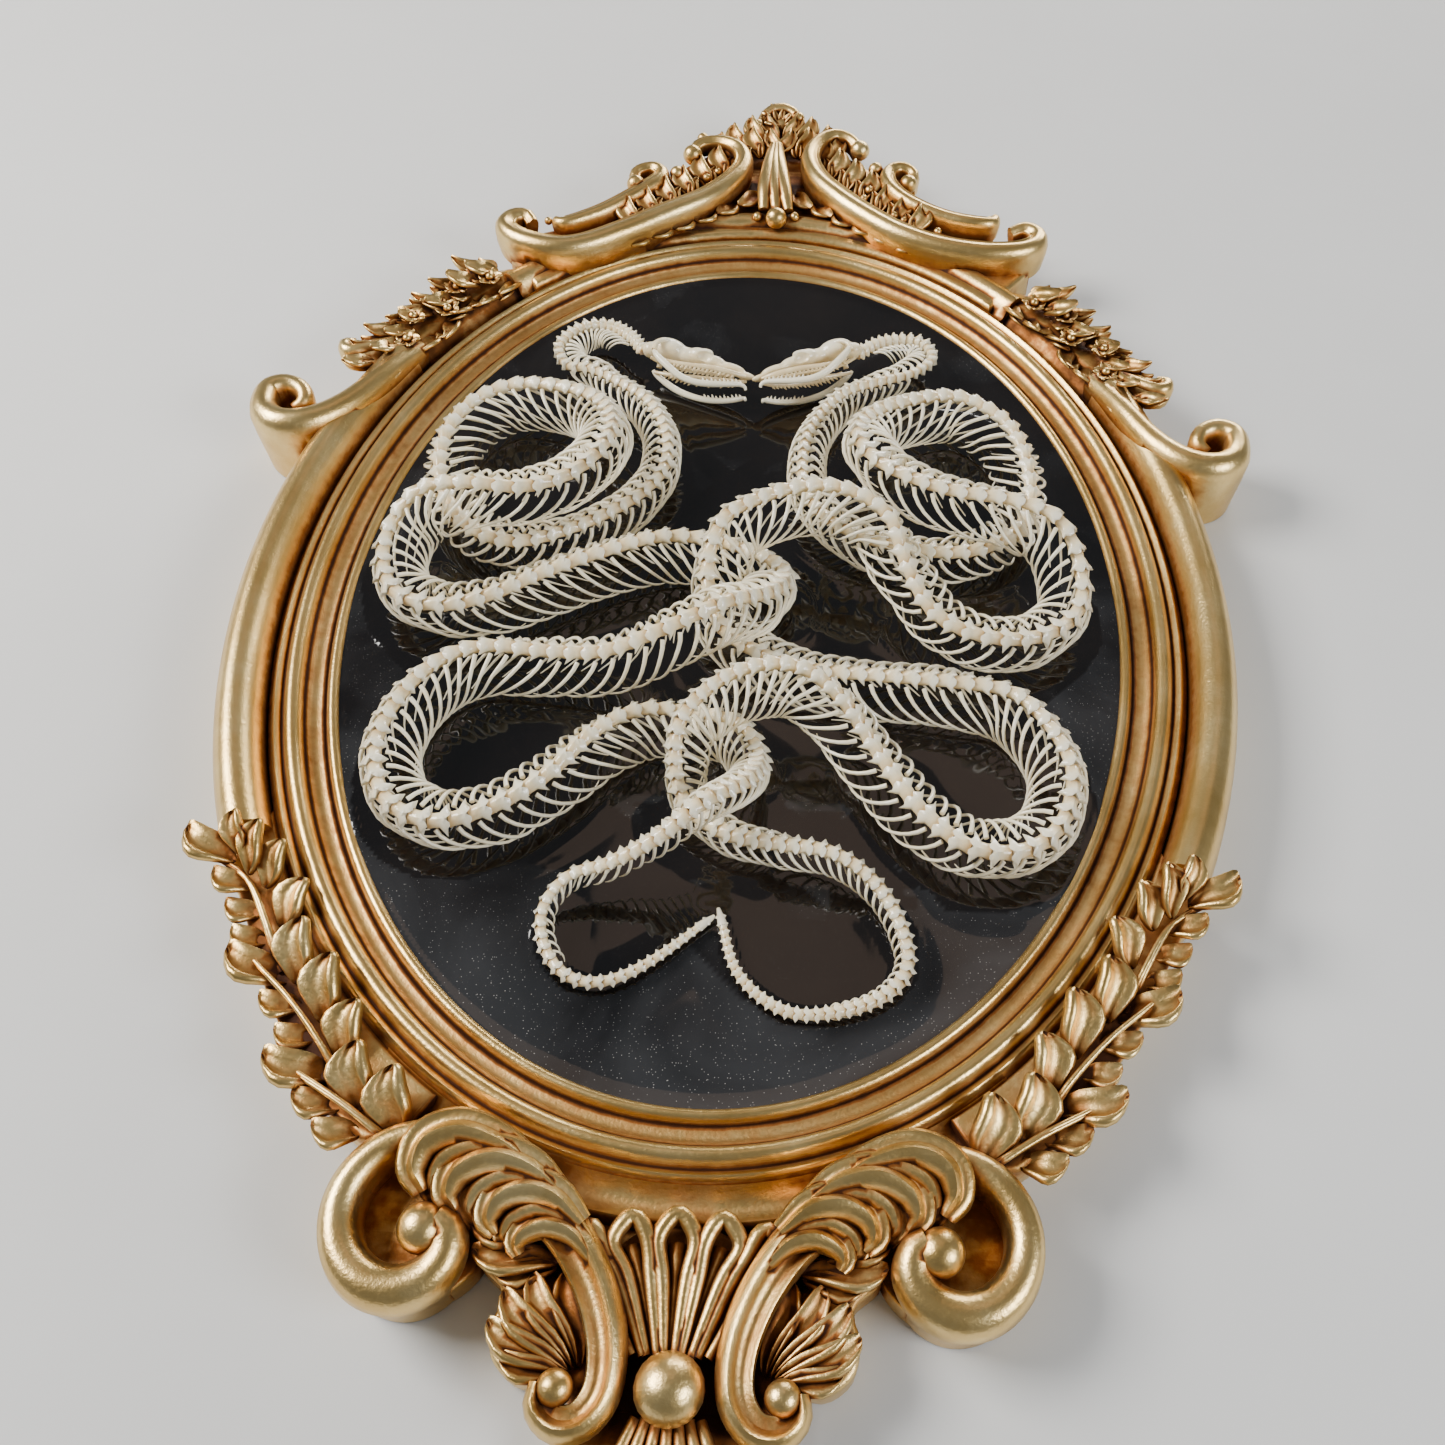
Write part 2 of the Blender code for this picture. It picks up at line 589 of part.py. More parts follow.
def rib_room(route, index, side_sign):
    """Width and depth of the rib on this side: narrower inside a bend, and lifted over a crossing."""
    points, _, _, _, turn = route
    width, depth = body_size(index / (len(points) - 1))
    inward = side_sign * -turn[index]
    if inward > 0:
        width = min(width, INNER_REACH / inward)
    height = points[index][2] - RESIN_HEIGHT
    lifted = min(1.0, max(0.0, (height - 12 * MM) / (6 * MM)))
    return width * (1 - 0.18 * lifted), min(depth - 1.6 * MM * lifted, height - 0.9 * MM)


def add_rib(verts, faces, base, route, index, side_sign):
    points, heading, side, up, _ = route
    width, depth = rib_room(route, index, side_sign)
    origin = points[index]
    out = side_sign * side[index]
    forward = -heading[index]
    radius = RIB_THICKNESS / 2 * 1.15
    path = [origin + out * x - up[index] * z - forward * b
            for x, z, b in rib_curve(width, depth, 0.34 * depth, 2)]
    ring = list(base)
    start = sum((Vector(verts[k]) for k in base), Vector()) / 3
    for k, point in enumerate(path[:-1]):
        before = start if k == 0 else Vector(path[k - 1])
        along = (Vector(path[k + 1]) - before).normalized()
        ahead = Vector(forward)
        ahead = (ahead - along * ahead.dot(along)).normalized()
        outward = ahead.cross(along) * side_sign
        new = len(verts)
        for turned in (math.radians(60), math.radians(-60), math.radians(180)):
            offset = outward * math.sin(turned) + ahead * math.cos(turned)
            verts.append(point + np.array(offset) * radius)
        for a, b in ((0, 1), (1, 2), (2, 0)):
            faces.append((ring[a], ring[b], new + b, new + a))
        ring = [new, new + 1, new + 2]
    verts.append(path[-1])
    tip = len(verts) - 1
    for a, b in ((0, 1), (1, 2), (2, 0)):
        faces.append((ring[a], ring[b], tip))


def tail_piece(name, route, span):
    """The tail's backbone, with a short pointed process each side of every vertebra."""
    points, heading, side, up, _ = route
    first, last = span
    total = len(points) - 1
    verts = []
    faces = []
    for i in range(first, last + 1):
        half = vertebra_size(i / total) * (1.0 - 0.55 * (i - first) / (last - first))
        shift = heading[i] * (GAP / 2 if i == first else 0.0)
        reach = 1.5 if i % 2 else 0.8
        for out, rise in ((0.0, 0.9), (reach, -0.1), (0.0, -0.7), (-reach, -0.1)):
            verts.append(points[i] + shift + side[i] * out * half + up[i] * rise * half)
    for i in range(last - first):
        for k in range(4):
            n = (k + 1) % 4
            faces.append((4 * i + k, 4 * i + n, 4 * i + 4 + n, 4 * i + 4 + k))
    faces.append((3, 2, 1, 0))
    faces.append(tuple(range(len(verts) - 4, len(verts))))
    return mesh_object(name, verts, faces)


def plain_body(name, route, pitch):
    """A whole skeleton's outline as one tube, flat below and ridged along the backbone."""
    path = frames(route, pitch, -1)
    points, _, side, up, _ = path
    total = len(points) - 1
    verts = []
    faces = []
    for i in range(total + 1):
        half = vertebra_size(i / total)
        right, depth = rib_room(path, i, 1)
        left, _ = rib_room(path, i, -1)
        for out, rise in ((0.0, 0.62 * half + 0.5 * MM), (0.72 * right, -0.16 * depth),
                          (right, -0.55 * depth), (0.5 * right, -depth), (-0.5 * left, -depth),
                          (-left, -0.55 * depth), (-0.72 * left, -0.16 * depth)):
            verts.append(points[i] + side[i] * out + up[i] * rise)
    for i in range(total):
        for k in range(7):
            n = (k + 1) % 7
            faces.append((7 * i + k, 7 * i + n, 7 * i + 7 + n, 7 * i + 7 + k))
    faces.append((6, 5, 4, 3, 2, 1, 0))
    faces.append(tuple(range(len(verts) - 7, len(verts))))
    return mesh_object(name, verts, faces)


class HeadFrame:
    """A head's own directions: forwards, up through the crown, and out of its upper side."""

    def __init__(self, ends, side):
        back, snout = (Vector((x * MM, y * MM, h * MM + RESIN_HEIGHT)) for x, y, h in ends)
        self.origin = back
        self.forward = (snout - back).normalized()
        level = Vector((0, 0, 1)).cross(self.forward).normalized() * side
        above = (self.forward.cross(level) * side).normalized()
        self.crown = above * math.cos(HEAD_ROLL) + level * math.sin(HEAD_ROLL)
        self.outer = above * math.sin(HEAD_ROLL) - level * math.cos(HEAD_ROLL)

    def place(self, ahead, crown, outer):
        """A point given in millimetres from the back of the skull."""
        return (self.origin + self.forward * ahead * MM + self.crown * crown * MM
                + self.outer * outer * MM)


def skull_case(frame):
    """Braincase, orbits and snout, as a loft: distance ahead, half width, crown and palate."""
    sections = [(-0.6, 0.9, 1.4, 0.2), (0.6, 2.4, 3.4, -0.2), (3.0, 3.5, 4.7, -0.6), (6.5, 3.5, 4.9, -0.6),
                (9.0, 2.6, 4.0, -0.5), (11.2, 3.2, 3.9, -0.4), (13.5, 2.3, 3.5, -0.4),
                (16.5, 2.7, 3.4, -0.7), (19.5, 2.3, 2.5, -0.9), (22.2, 1.5, 1.2, -0.9),
                (23.8, 0.5, 0.1, -0.7)]
    verts = []
    faces = []
    for ahead, half, top, bottom in sections:
        middle = (top + bottom) / 2
        for k in range(8):
            turn = 2 * math.pi * k / 8
            verts.append(frame.place(ahead, middle + (top - middle) * math.cos(turn),
                                     half * math.sin(turn)))
    for i in range(len(sections) - 1):
        for k in range(8):
            n = (k + 1) % 8
            faces.append((8 * i + k, 8 * i + n, 8 * i + 8 + n, 8 * i + 8 + k))
    faces.append(tuple(range(8)))
    faces.append(tuple(range(len(verts) - 8, len(verts))))
    return mesh_object("case", verts, faces)


def head_bar(frame, name, route, radii):
    """A slender bone of the head, through points given ahead, crownwards and outwards."""
    points = smooth([frame.place(*point) for point in route], 2.6 * MM)
    ends = np.linspace(0, len(radii) - 1, len(points))
    sizes = [float(r) * MM for r in np.interp(ends, range(len(radii)), radii)]
    return baked(rod(name, points, sizes, 1))


def head_pieces(frame):
    """The skull with its upper jaws and quadrates, and the two mandibles, not yet joined."""
    skull = [skull_case(frame)]
    for outer in (1, -1):
        jaw = [(21.0, -0.8, 1.3 * outer), (17, -1.7, 3.0 * outer), (11, -2.6, 3.6 * outer),
               (5, -2.6, 2.9 * outer), (1.5, -1.4, 2.5 * outer)]
        skull.append(head_bar(frame, "upper_jaw", jaw, [0.55, 0.7, 0.7, 0.6, 0.5]))
        quadrate = [(3.0, 3.0, 2.6 * outer), (0.0, 2.2, 4.3 * outer), (-1.8, 0.1, 5.0 * outer)]
        skull.append(head_bar(frame, "quadrate", quadrate, [0.8, 0.8, 0.8]))
    return skull


def mandible(frame, name, outer, sag, hinge=()):
    """A lower jaw: it bows down from its hinge, is deep behind and slender in front."""
    bow = [(-2.4, -2.2, 4.9), (1.0, -2.4, 5.0), (4.5, -3.9, 5.0), (8.0, -5.4, 4.8), (12.0, -6.1, 4.2),
           (16.0, -5.6, 3.4), (20.0, -4.0, 2.0), (22.3, -3.6, 1.0)]
    route = [(ahead, crown - sag * ahead / 22.3, out * outer) for ahead, crown, out in bow]
    return head_bar(frame, name, [*hinge, *route], [0.9, 1.0, 1.0, 0.8, 0.65, 0.6, 0.5, 0.4])


def first_snake():
    """The skeleton on the left, in its named lengths."""
    frame = HeadFrame(FIRST_SNAKE_HEAD, 1)
    add(joined("skull", head_pieces(frame)), "skull", bone())
    add(mandible(frame, "mandible_upper", 1, 0.0), "mandible_upper", bone())
    add(mandible(frame, "mandible_lower", -1, 1.4), "mandible_lower", bone())
    full = FIRST_SNAKE_NECK + FIRST_SNAKE_BODY + FIRST_SNAKE_TAIL
    route = frames(full, VERTEBRA_PITCH, 1)
    total = len(route[0]) - 1
    neck_end = round(NECK_END * total)
    tail_start = round(TAIL_START * total)
    stops = [round(s) for s in np.linspace(neck_end, tail_start, TRUNK_LENGTHS + 1)]
    lengths = [("neck", 0, neck_end)]
    for number in range(TRUNK_LENGTHS):
        lengths.append((f"trunk_{number + 1}", stops[number], stops[number + 1]))
    for label, first, last in lengths:
        for side_sign, side_name in ((1, "right"), (-1, "left")):
            name = f"{label}_{side_name}"
            add(half_body(name, route, (first, last), side_sign), name, bone())
    add(tail_piece("tail", route, (tail_start, total)), "tail", bone())


def second_snake():
    """The skeleton on the right, made more plainly as one solid."""
    frame = HeadFrame(SECOND_SNAKE_HEAD, -1)
    pieces = [plain_body("body", SECOND_SNAKE_NECK + SECOND_SNAKE_BODY + SECOND_SNAKE_TAIL, PLAIN_PITCH)]
    pieces += head_pieces(frame)
    pieces.append(mandible(frame, "mandible", 1, 0.0, [(-1.8, -0.2, 4.9)]))
    pieces.append(mandible(frame, "mandible", -1, 1.4, [(-1.8, -0.2, -4.9)]))
    add(joined("second_snake", pieces), "second_snake", bone())


def build():
    resin_panel()
    oval_moulding()
    cartouche()
    for side in (1, -1):
        side_torus(side)
        swag(side)
        side_volute(side)
        laurel(side)
        big_volute(side)
        acanthus(side)
    foot_plate()
    fan()
    boss()
    pendant()
    first_snake()
    second_snake()


for leftover in list(bpy.data.objects):
    bpy.data.objects.remove(leftover)
PARTS = collection("framed snake skeletons")
GUIDES = collection("guides", hidden=True)
build()
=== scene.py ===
"""Two snake skeletons, nose to nose, in glossy black resin inside an oval gilt frame on its back."""

import math

import bmesh
import bpy
import numpy as np
from mathutils import Matrix, Vector, noise
from mathutils.bvhtree import BVHTree
from mathutils.kdtree import KDTree


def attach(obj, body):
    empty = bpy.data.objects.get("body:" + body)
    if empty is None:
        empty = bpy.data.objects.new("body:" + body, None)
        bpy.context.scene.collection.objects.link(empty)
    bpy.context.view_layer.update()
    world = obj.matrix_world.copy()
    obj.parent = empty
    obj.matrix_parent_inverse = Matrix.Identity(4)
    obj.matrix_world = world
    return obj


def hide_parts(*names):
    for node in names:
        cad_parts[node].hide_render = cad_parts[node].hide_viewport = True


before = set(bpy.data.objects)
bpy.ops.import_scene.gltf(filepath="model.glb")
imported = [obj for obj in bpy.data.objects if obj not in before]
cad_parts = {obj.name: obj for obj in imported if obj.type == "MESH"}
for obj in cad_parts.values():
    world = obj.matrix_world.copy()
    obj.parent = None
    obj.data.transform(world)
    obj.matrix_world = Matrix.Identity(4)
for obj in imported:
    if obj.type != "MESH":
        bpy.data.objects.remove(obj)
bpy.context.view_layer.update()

MM = 0.001
HALF_WIDTH = 77.5  # of the frame's oval opening, in millimetres
HALF_LENGTH = 105.0
RESIN_LEVEL = 9.0  # the resin's height over the floor, in millimetres
OPENING_HALF_WIDTH = HALF_WIDTH * MM
OPENING_HALF_LENGTH = HALF_LENGTH * MM
RESIN_HEIGHT = RESIN_LEVEL * MM
RESIN_EDGE = 2.1 * MM  # how far the resin reaches under the moulding
RESIN_GRID = 2.4 * MM  # and how far the grid does that it is cut from

# The skeletons' routes, head to tail: x, y and the height of the backbone over the resin, in millimetres.
LEFT_HEAD = ((-24.4, 65.8, 7.9), (-1.5, 61.4, 7.1))
LEFT_ROUTE = [
    (-25.6, 67.2, 7.8), (-29.2, 72.8, 7.2), (-34.5, 77.0, 6.4), (-40.5, 75.9, 6.5), (-44.6, 69.0, 7.0),
    (-42.2, 62.1, 7.5), (-36.4, 60.5, 8.0), (-29.5, 56.0, 8.5), (-22.5, 50.0, 9.0), (-17.8, 40.4, 9.5),
    (-17.2, 30.6, 9.0), (-21.2, 22.6, 8.8), (-28.2, 15.9, 8.8), (-36.3, 10.6, 8.8), (-45.4, 7.4, 8.8),
    (-54.7, 10.8, 8.5), (-61.9, 20.1, 9.0), (-64.2, 31.7, 10.5), (-61.4, 43.2, 10.5), (-53.9, 50.4, 10.5),
    (-44.1, 51.1, 11.0), (-33.8, 46.5, 12.5), (-28.2, 36.0, 16.5), (-29.0, 24.5, 19.4), (-34.6, 16.2, 19.6),
    (-43.6, 12.1, 19.6), (-53.8, 12.4, 19.8), (-63.4, 12.6, 17.0), (-69.4, 7.8, 12.0), (-69.8, -0.9, 10.5),
    (-65.4, -8.9, 10.5), (-56.6, -11.4, 10.5), (-47.6, -8.4, 10.5), (-38.3, -2.2, 10.5), (-27.9, 3.7, 10.5),
    (-16.1, 9.2, 10.0), (-5.4, 10.0, 8.8), (4.6, 6.5, 8.8), (9.8, 0.6, 10.0), (7.0, -8.0, 15.0),
    (-1.0, -15.4, 20.2), (-12.5, -20.6, 17.5), (-23.5, -22.0, 12.0), (-34.6, -21.5, 10.5),
    (-46.4, -21.1, 10.5), (-54.7, -25.4, 10.5), (-60.2, -34.3, 10.5), (-62.0, -45.1, 10.5),
    (-58.1, -55.3, 10.5), (-49.5, -59.7, 10.5), (-39.9, -56.7, 10.5), (-30.8, -49.3, 10.5),
    (-23.3, -39.4, 10.5), (-15.6, -33.8, 10.0), (-6.4, -32.8, 8.8), (2.8, -35.0, 8.8), (7.0, -42.8, 10.0),
    (5.6, -51.0, 15.4), (-1.4, -58.4, 19.2), (-9.0, -63.5, 15.0), (-17.4, -65.8, 9.5), (-24.5, -67.5, 7.0),
    (-28.2, -72.5, 5.5), (-27.9, -78.2, 4.5), (-24.9, -83.0, 4.0), (-20.6, -85.2, 3.5), (-15.2, -84.4, 3.0),
    (-8.6, -80.0, 2.5), (-0.5, -72.4, 2.0),
]
RIGHT_HEAD = ((22.9, 69.0, 7.9), (0.9, 60.9, 7.1))
RIGHT_ROUTE = [
    (22.9, 69.2, 7.8), (27.3, 74.0, 7.2), (32.8, 76.8, 6.4), (37.9, 76.0, 6.5), (39.8, 70.0, 7.0),
    (35.0, 64.4, 7.5), (27.3, 60.5, 8.0), (20.4, 56.2, 8.5), (15.1, 48.2, 9.0), (12.2, 38.5, 9.5),
    (12.4, 27.0, 8.8), (17.0, 18.6, 8.8), (24.8, 13.8, 8.0), (33.5, 11.8, 7.8), (43.1, 10.4, 8.2),
    (51.6, 12.6, 8.8), (57.8, 19.2, 8.0), (60.0, 27.8, 8.8), (58.4, 39.2, 10.5), (54.2, 48.3, 10.5),
    (45.4, 53.9, 10.5), (35.7, 51.6, 11.5), (26.9, 44.4, 14.0), (23.0, 34.2, 18.0), (27.0, 24.6, 19.6),
    (35.0, 19.4, 19.6), (43.7, 16.4, 19.6), (54.2, 14.6, 19.8), (62.9, 11.2, 18.6), (67.5, 4.0, 14.0),
    (67.2, -5.2, 10.5), (59.5, -12.1, 10.5), (48.8, -12.8, 10.5), (39.2, -8.4, 11.5), (33.6, 0.4, 14.5),
    (29.4, 9.8, 18.6), (21.4, 15.0, 20.0), (12.8, 15.6, 19.8), (4.1, 11.6, 20.2), (-2.9, 5.4, 19.8),
    (-5.4, -2.6, 13.8), (-2.6, -11.0, 8.6), (4.6, -17.6, 8.8), (13.8, -21.2, 8.8), (24.6, -22.2, 9.0),
    (41.3, -24.1, 10.5), (53.6, -26.2, 10.5), (60.6, -34.2, 10.5), (63.6, -43.5, 10.5), (61.0, -53.9, 10.5),
    (54.1, -60.0, 10.5), (44.6, -59.7, 10.5), (35.9, -52.4, 10.5), (28.2, -41.8, 12.0), (21.6, -34.2, 16.5),
    (14.0, -29.6, 19.6), (5.5, -29.8, 19.8), (-2.4, -34.6, 19.2), (-7.4, -42.6, 17.4), (-6.2, -51.6, 9.6),
    (1.6, -57.6, 8.1), (11.0, -59.8, 8.5), (20.4, -61.1, 8.5), (27.1, -64.6, 7.0), (32.0, -70.8, 5.5),
    (34.3, -78.7, 4.5), (32.1, -83.9, 4.0), (26.3, -87.4, 3.5), (17.1, -89.2, 3.0), (10.4, -86.7, 2.5),
    (5.0, -80.9, 2.2), (1.9, -71.4, 2.0),
]
HEAD_ROLL = math.radians(68)
NECK_ROLL = math.radians(56)
NECK_TWIST = 44 * MM  # over which the neck rolls from its side to upright
CAGE_HALF_WIDTH = 6.3 * MM
CAGE_DEPTH = 9.6 * MM
LEAN = 6.0 * MM  # a bend of this radius would lean the body by a radian
LEAN_LIMIT = 0.6
RIB_THICKNESS = 0.78 * MM
RIB_START, RIB_ARC = 20, 134  # degrees round the cage, from its top, where a rib starts, and how far it goes
RIB_POINTS = 10
RIB_BARE = 2  # vertebrae without ribs behind the head
RIB_END = 0.955  # the share of the backbone that has ribs
HIDDEN_SIDE = -0.62  # a rib is left out where its side of the body faces the resin more steeply than this


# Working by hand --------------------------------------------------------------------------

def only(*objects):
    bpy.ops.object.select_all(action="DESELECT")
    for obj in objects:
        obj.select_set(True)
    bpy.context.view_layer.objects.active = objects[0]


def edit(obj):
    only(obj)
    bpy.ops.object.mode_set(mode="EDIT")


def leave():
    bpy.ops.object.mode_set(mode="OBJECT")


def pick(where):
    """Select the points that lie where the test says, in the mesh that is being edited."""
    mesh = bpy.context.object.data
    bpy.ops.mesh.select_mode(type="VERT")
    bpy.ops.mesh.select_all(action="DESELECT")
    shape = bmesh.from_edit_mesh(mesh)
    for vert in shape.verts:
        vert.select = bool(where(vert.co))
    shape.select_flush_mode()
    bmesh.update_edit_mesh(mesh)


def cut(*places, axis=0):
    """Cut the whole mesh across an axis at these places."""
    normal = [0.0, 0.0, 0.0]
    normal[axis] = 1.0
    for place in places:
        bpy.ops.mesh.select_all(action="SELECT")
        bpy.ops.mesh.bisect(plane_co=[place * n for n in normal], plane_no=normal)


def shift(x=0.0, y=0.0, z=0.0):
    bpy.ops.transform.translate(value=(x, y, z))


def spread(x=1.0, y=1.0, z=1.0, about=(0.0, 0.0, 0.0)):
    bpy.ops.transform.resize(value=(x, y, z), center_override=about)


def face_outwards(merge=False):
    """Turn the faces of the edited mesh outwards, if wanted after merging the points that meet."""
    bpy.ops.mesh.select_all(action="SELECT")
    if merge:
        bpy.ops.mesh.remove_doubles(threshold=0.00001)
    bpy.ops.mesh.normals_make_consistent(inside=False)


def smooth(angle):
    """Shade smooth where faces meet at less than this angle, in degrees."""
    bpy.ops.object.shade_smooth_by_angle(angle=math.radians(angle))


def worked(obj, kind, **settings):
    """Apply a modifier with these settings."""
    only(obj)
    modifier = obj.modifiers.new("worked", kind)
    for setting, value in settings.items():
        setattr(modifier, setting, value)
    bpy.ops.object.modifier_apply(modifier=modifier.name)


def settle(obj):
    """Put the object's place into its mesh."""
    only(obj)
    bpy.ops.object.transform_apply(location=True, rotation=True, scale=True)


def copied(obj, name, matrix):
    twin = obj.copy()
    twin.data = obj.data.copy()
    twin.name = name
    twin.matrix_world = matrix
    bpy.context.scene.collection.objects.link(twin)
    return twin


def joined(name, pieces):
    only(*pieces)
    if len(pieces) > 1:
        bpy.ops.object.join()
    whole = bpy.context.object
    whole.name = name
    whole.data.name = name
    settle(whole)
    return whole


def discard(*objects):
    for obj in objects:
        bpy.data.objects.remove(obj)


def placed(name, data):
    obj = bpy.data.objects.new(name, data)
    bpy.context.scene.collection.objects.link(obj)
    return obj


def drawn(name, lines, flat=False, **settings):
    """A curve of straight runs through the points of its lines: x, y, z and size. A flat one is closed."""
    curve = bpy.data.curves.new(name, "CURVE")
    curve.dimensions = "2D" if flat else "3D"
    for setting, value in settings.items():
        setattr(curve, setting, value)
    for line in lines:
        spline = curve.splines.new("POLY")
        spline.points.add(len(line) - 1)
        spline.use_cyclic_u = flat
        for dot, (x, y, z, size) in zip(spline.points, line):
            dot.co = (x, y, z, 1)
            dot.radius = size
    return curve


def as_mesh(name, curve, cutters=(), angle=48):
    """The curve made a closed mesh; the sections that it was swept from are thrown away."""
    only(placed(name, curve))
    bpy.ops.object.convert(target="MESH")
    made = bpy.context.object
    edit(made)
    face_outwards(merge=True)
    leave()
    smooth(angle)
    discard(*cutters)
    return made


def sided(name, side):
    return f"{name}_right" if side > 0 else f"{name}_left"


def finish_piece(obj, material, slot, *nodes):
    obj.data.materials.clear()
    obj.data.materials.append(material)
    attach(obj, "root")
    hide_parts(*nodes)


def eased(value, low, high):
    """From 0 at the low value to 1 at the high one, without a kink."""
    t = min(1.0, max(0.0, (value - low) / (high - low)))
    return t * t * (3 - 2 * t)


def dense(points, step):
    """Points at even steps along a Catmull-Rom curve through the given ones."""
    points = np.array(points, float)
    ends = np.vstack([2 * points[0] - points[1], points, 2 * points[-1] - points[-2]])
    fine = []
    for p0, p1, p2, p3 in zip(ends, ends[1:], ends[2:], ends[3:]):
        for t in np.linspace(0, 1, 24, endpoint=False):
            fine.append(0.5 * (2 * p1 + (p2 - p0) * t + (2 * p0 - 5 * p1 + 4 * p2 - p3) * t ** 2
                               + (3 * p1 - p0 - 3 * p2 + p3) * t ** 3))
    fine.append(points[-1])
    fine = np.array(fine)
    lengths = np.linalg.norm(np.diff(fine[:, :3], axis=0), axis=1)
    along = np.concatenate([[0], np.cumsum(lengths)])
    wanted = np.linspace(0, along[-1], max(2, round(along[-1] / step) + 1))
    return np.stack([np.interp(wanted, along, column) for column in fine.T], axis=1)


# Materials ------------------------------------------------------------------------------------

def surface_grain():
    """Clouds of colour, and fine pits with their bumps, which every finish has in a size of its own."""
    group = bpy.data.node_groups.new("surface_grain", "ShaderNodeTree")
    group.interface.new_socket("Vector", in_out="INPUT", socket_type="NodeSocketVector")
    for name in ("Cloud Scale", "Pit Scale", "Pit Depth"):
        group.interface.new_socket(name, in_out="INPUT", socket_type="NodeSocketFloat")
    for name, kind in (("Cloud", "Float"), ("Pits", "Float"), ("Normal", "Vector")):
        group.interface.new_socket(name, in_out="OUTPUT", socket_type="NodeSocket" + kind)
    nodes, links = group.nodes, group.links
    given, made = nodes.new("NodeGroupInput"), nodes.new("NodeGroupOutput")
    for name, detail in (("Cloud", 6.0), ("Pits", 3.0)):
        texture = nodes.new("ShaderNodeTexNoise")
        texture.inputs["Detail"].default_value = detail
        texture.inputs["Roughness"].default_value = 0.62
        links.new(given.outputs["Vector"], texture.inputs["Vector"])
        links.new(given.outputs[name.rstrip("s") + " Scale"], texture.inputs["Scale"])
        links.new(texture.outputs["Fac"], made.inputs[name])
    bump = nodes.new("ShaderNodeBump")  # of the pits, the texture made last
    bump.inputs["Strength"].default_value = 0.6
    links.new(given.outputs["Pit Depth"], bump.inputs["Distance"])
    links.new(texture.outputs["Fac"], bump.inputs["Height"])
    links.new(bump.outputs["Normal"], made.inputs["Normal"])
    return group


GRAIN = surface_grain()


class Finish:
    """A material under way: its nodes and links, with the grain placed and its normal in use."""

    def __init__(self, name, cloud_scale, pit_scale, pit_depth):
        self.material = bpy.data.materials.new(name)
        self.material.use_nodes = True
        self.nodes, self.links = self.material.node_tree.nodes, self.material.node_tree.links
        self.shader = self.nodes["Principled BSDF"]
        self.place = self.nodes.new("ShaderNodeTexCoord").outputs["Object"]
        grain = self.nodes.new("ShaderNodeGroup")
        grain.node_tree = GRAIN
        grain.inputs["Cloud Scale"].default_value = cloud_scale
        grain.inputs["Pit Scale"].default_value = pit_scale
        grain.inputs["Pit Depth"].default_value = pit_depth
        self.links.new(self.place, grain.inputs["Vector"])
        self.cloud, self.pits = grain.outputs["Cloud"], grain.outputs["Pits"]
        self.links.new(grain.outputs["Normal"], self.shader.inputs["Normal"])

    def feed(self, source, socket):
        self.links.new(source, self.shader.inputs[socket])

    def set(self, **values):
        for name, value in values.items():
            self.shader.inputs[name.replace("_", " ")].default_value = value

    def ramp(self, source, *stops):
        """The source's values as colours, or as greys where a stop is a single number."""
        node = self.nodes.new("ShaderNodeValToRGB")
        shades = [(place, colour if isinstance(colour, tuple) else (colour,) * 3)
                  for place, colour in stops]
        band = node.color_ramp.elements
        band[0].position, band[0].color = shades[0][0], (*shades[0][1], 1)
        band[1].position, band[1].color = shades[-1][0], (*shades[-1][1], 1)
        for place, colour in shades[1:-1]:
            band.new(place).color = (*colour, 1)
        self.links.new(source, node.inputs["Fac"])
        return node.outputs["Color"]

    def mark(self, name):
        node = self.nodes.new("ShaderNodeAttribute")
        node.attribute_name = name
        return node.outputs["Fac"]

    def sum(self, source, share, other):
        node = self.nodes.new("ShaderNodeMath")
        node.operation = "MULTIPLY_ADD"
        self.links.new(source, node.inputs[0])
        node.inputs[1].default_value = share
        self.links.new(other, node.inputs[2])
        return node.outputs[0]

    def mix(self, mask, under, over):
        node = self.nodes.new("ShaderNodeMix")
        node.data_type = "RGBA"
        for source, socket in ((mask, "Factor"), (under, "A"), (over, "B")):
            self.links.new(source, node.inputs[socket])
        return node.outputs["Result"]

    def noise(self, scale, detail, distortion=0.0):
        node = self.nodes.new("ShaderNodeTexNoise")
        node.inputs["Scale"].default_value = scale
        node.inputs["Detail"].default_value = detail
        node.inputs["Distortion"].default_value = distortion
        self.links.new(self.place, node.inputs["Vector"])
        return node.outputs["Fac"]


def bone_material():
    """Ivory bone under a thin clear coat, tan and a little translucent where it is thin or jointed."""
    bone = Finish("cleaned_bone", 300.0, 1500.0, 0.00012)
    worn = bone.sum(bone.cloud, 0.55, bone.mark("stain"))
    ivory = bone.ramp(worn, (0.22, (0.98, 0.90, 0.69)), (0.50, (0.93, 0.77, 0.47)),
                      (0.95, (0.56, 0.35, 0.14)))
    bone.feed(ivory, "Base Color")
    bone.feed(bone.ramp(bone.cloud, (0.35, 0.18), (0.7, 0.36)), "Roughness")
    bone.set(Subsurface_Weight=0.10, Subsurface_Scale=0.001, Subsurface_Radius=(1.0, 0.8, 0.5),
             Coat_Weight=0.6, Coat_Roughness=0.08)
    return bone.material


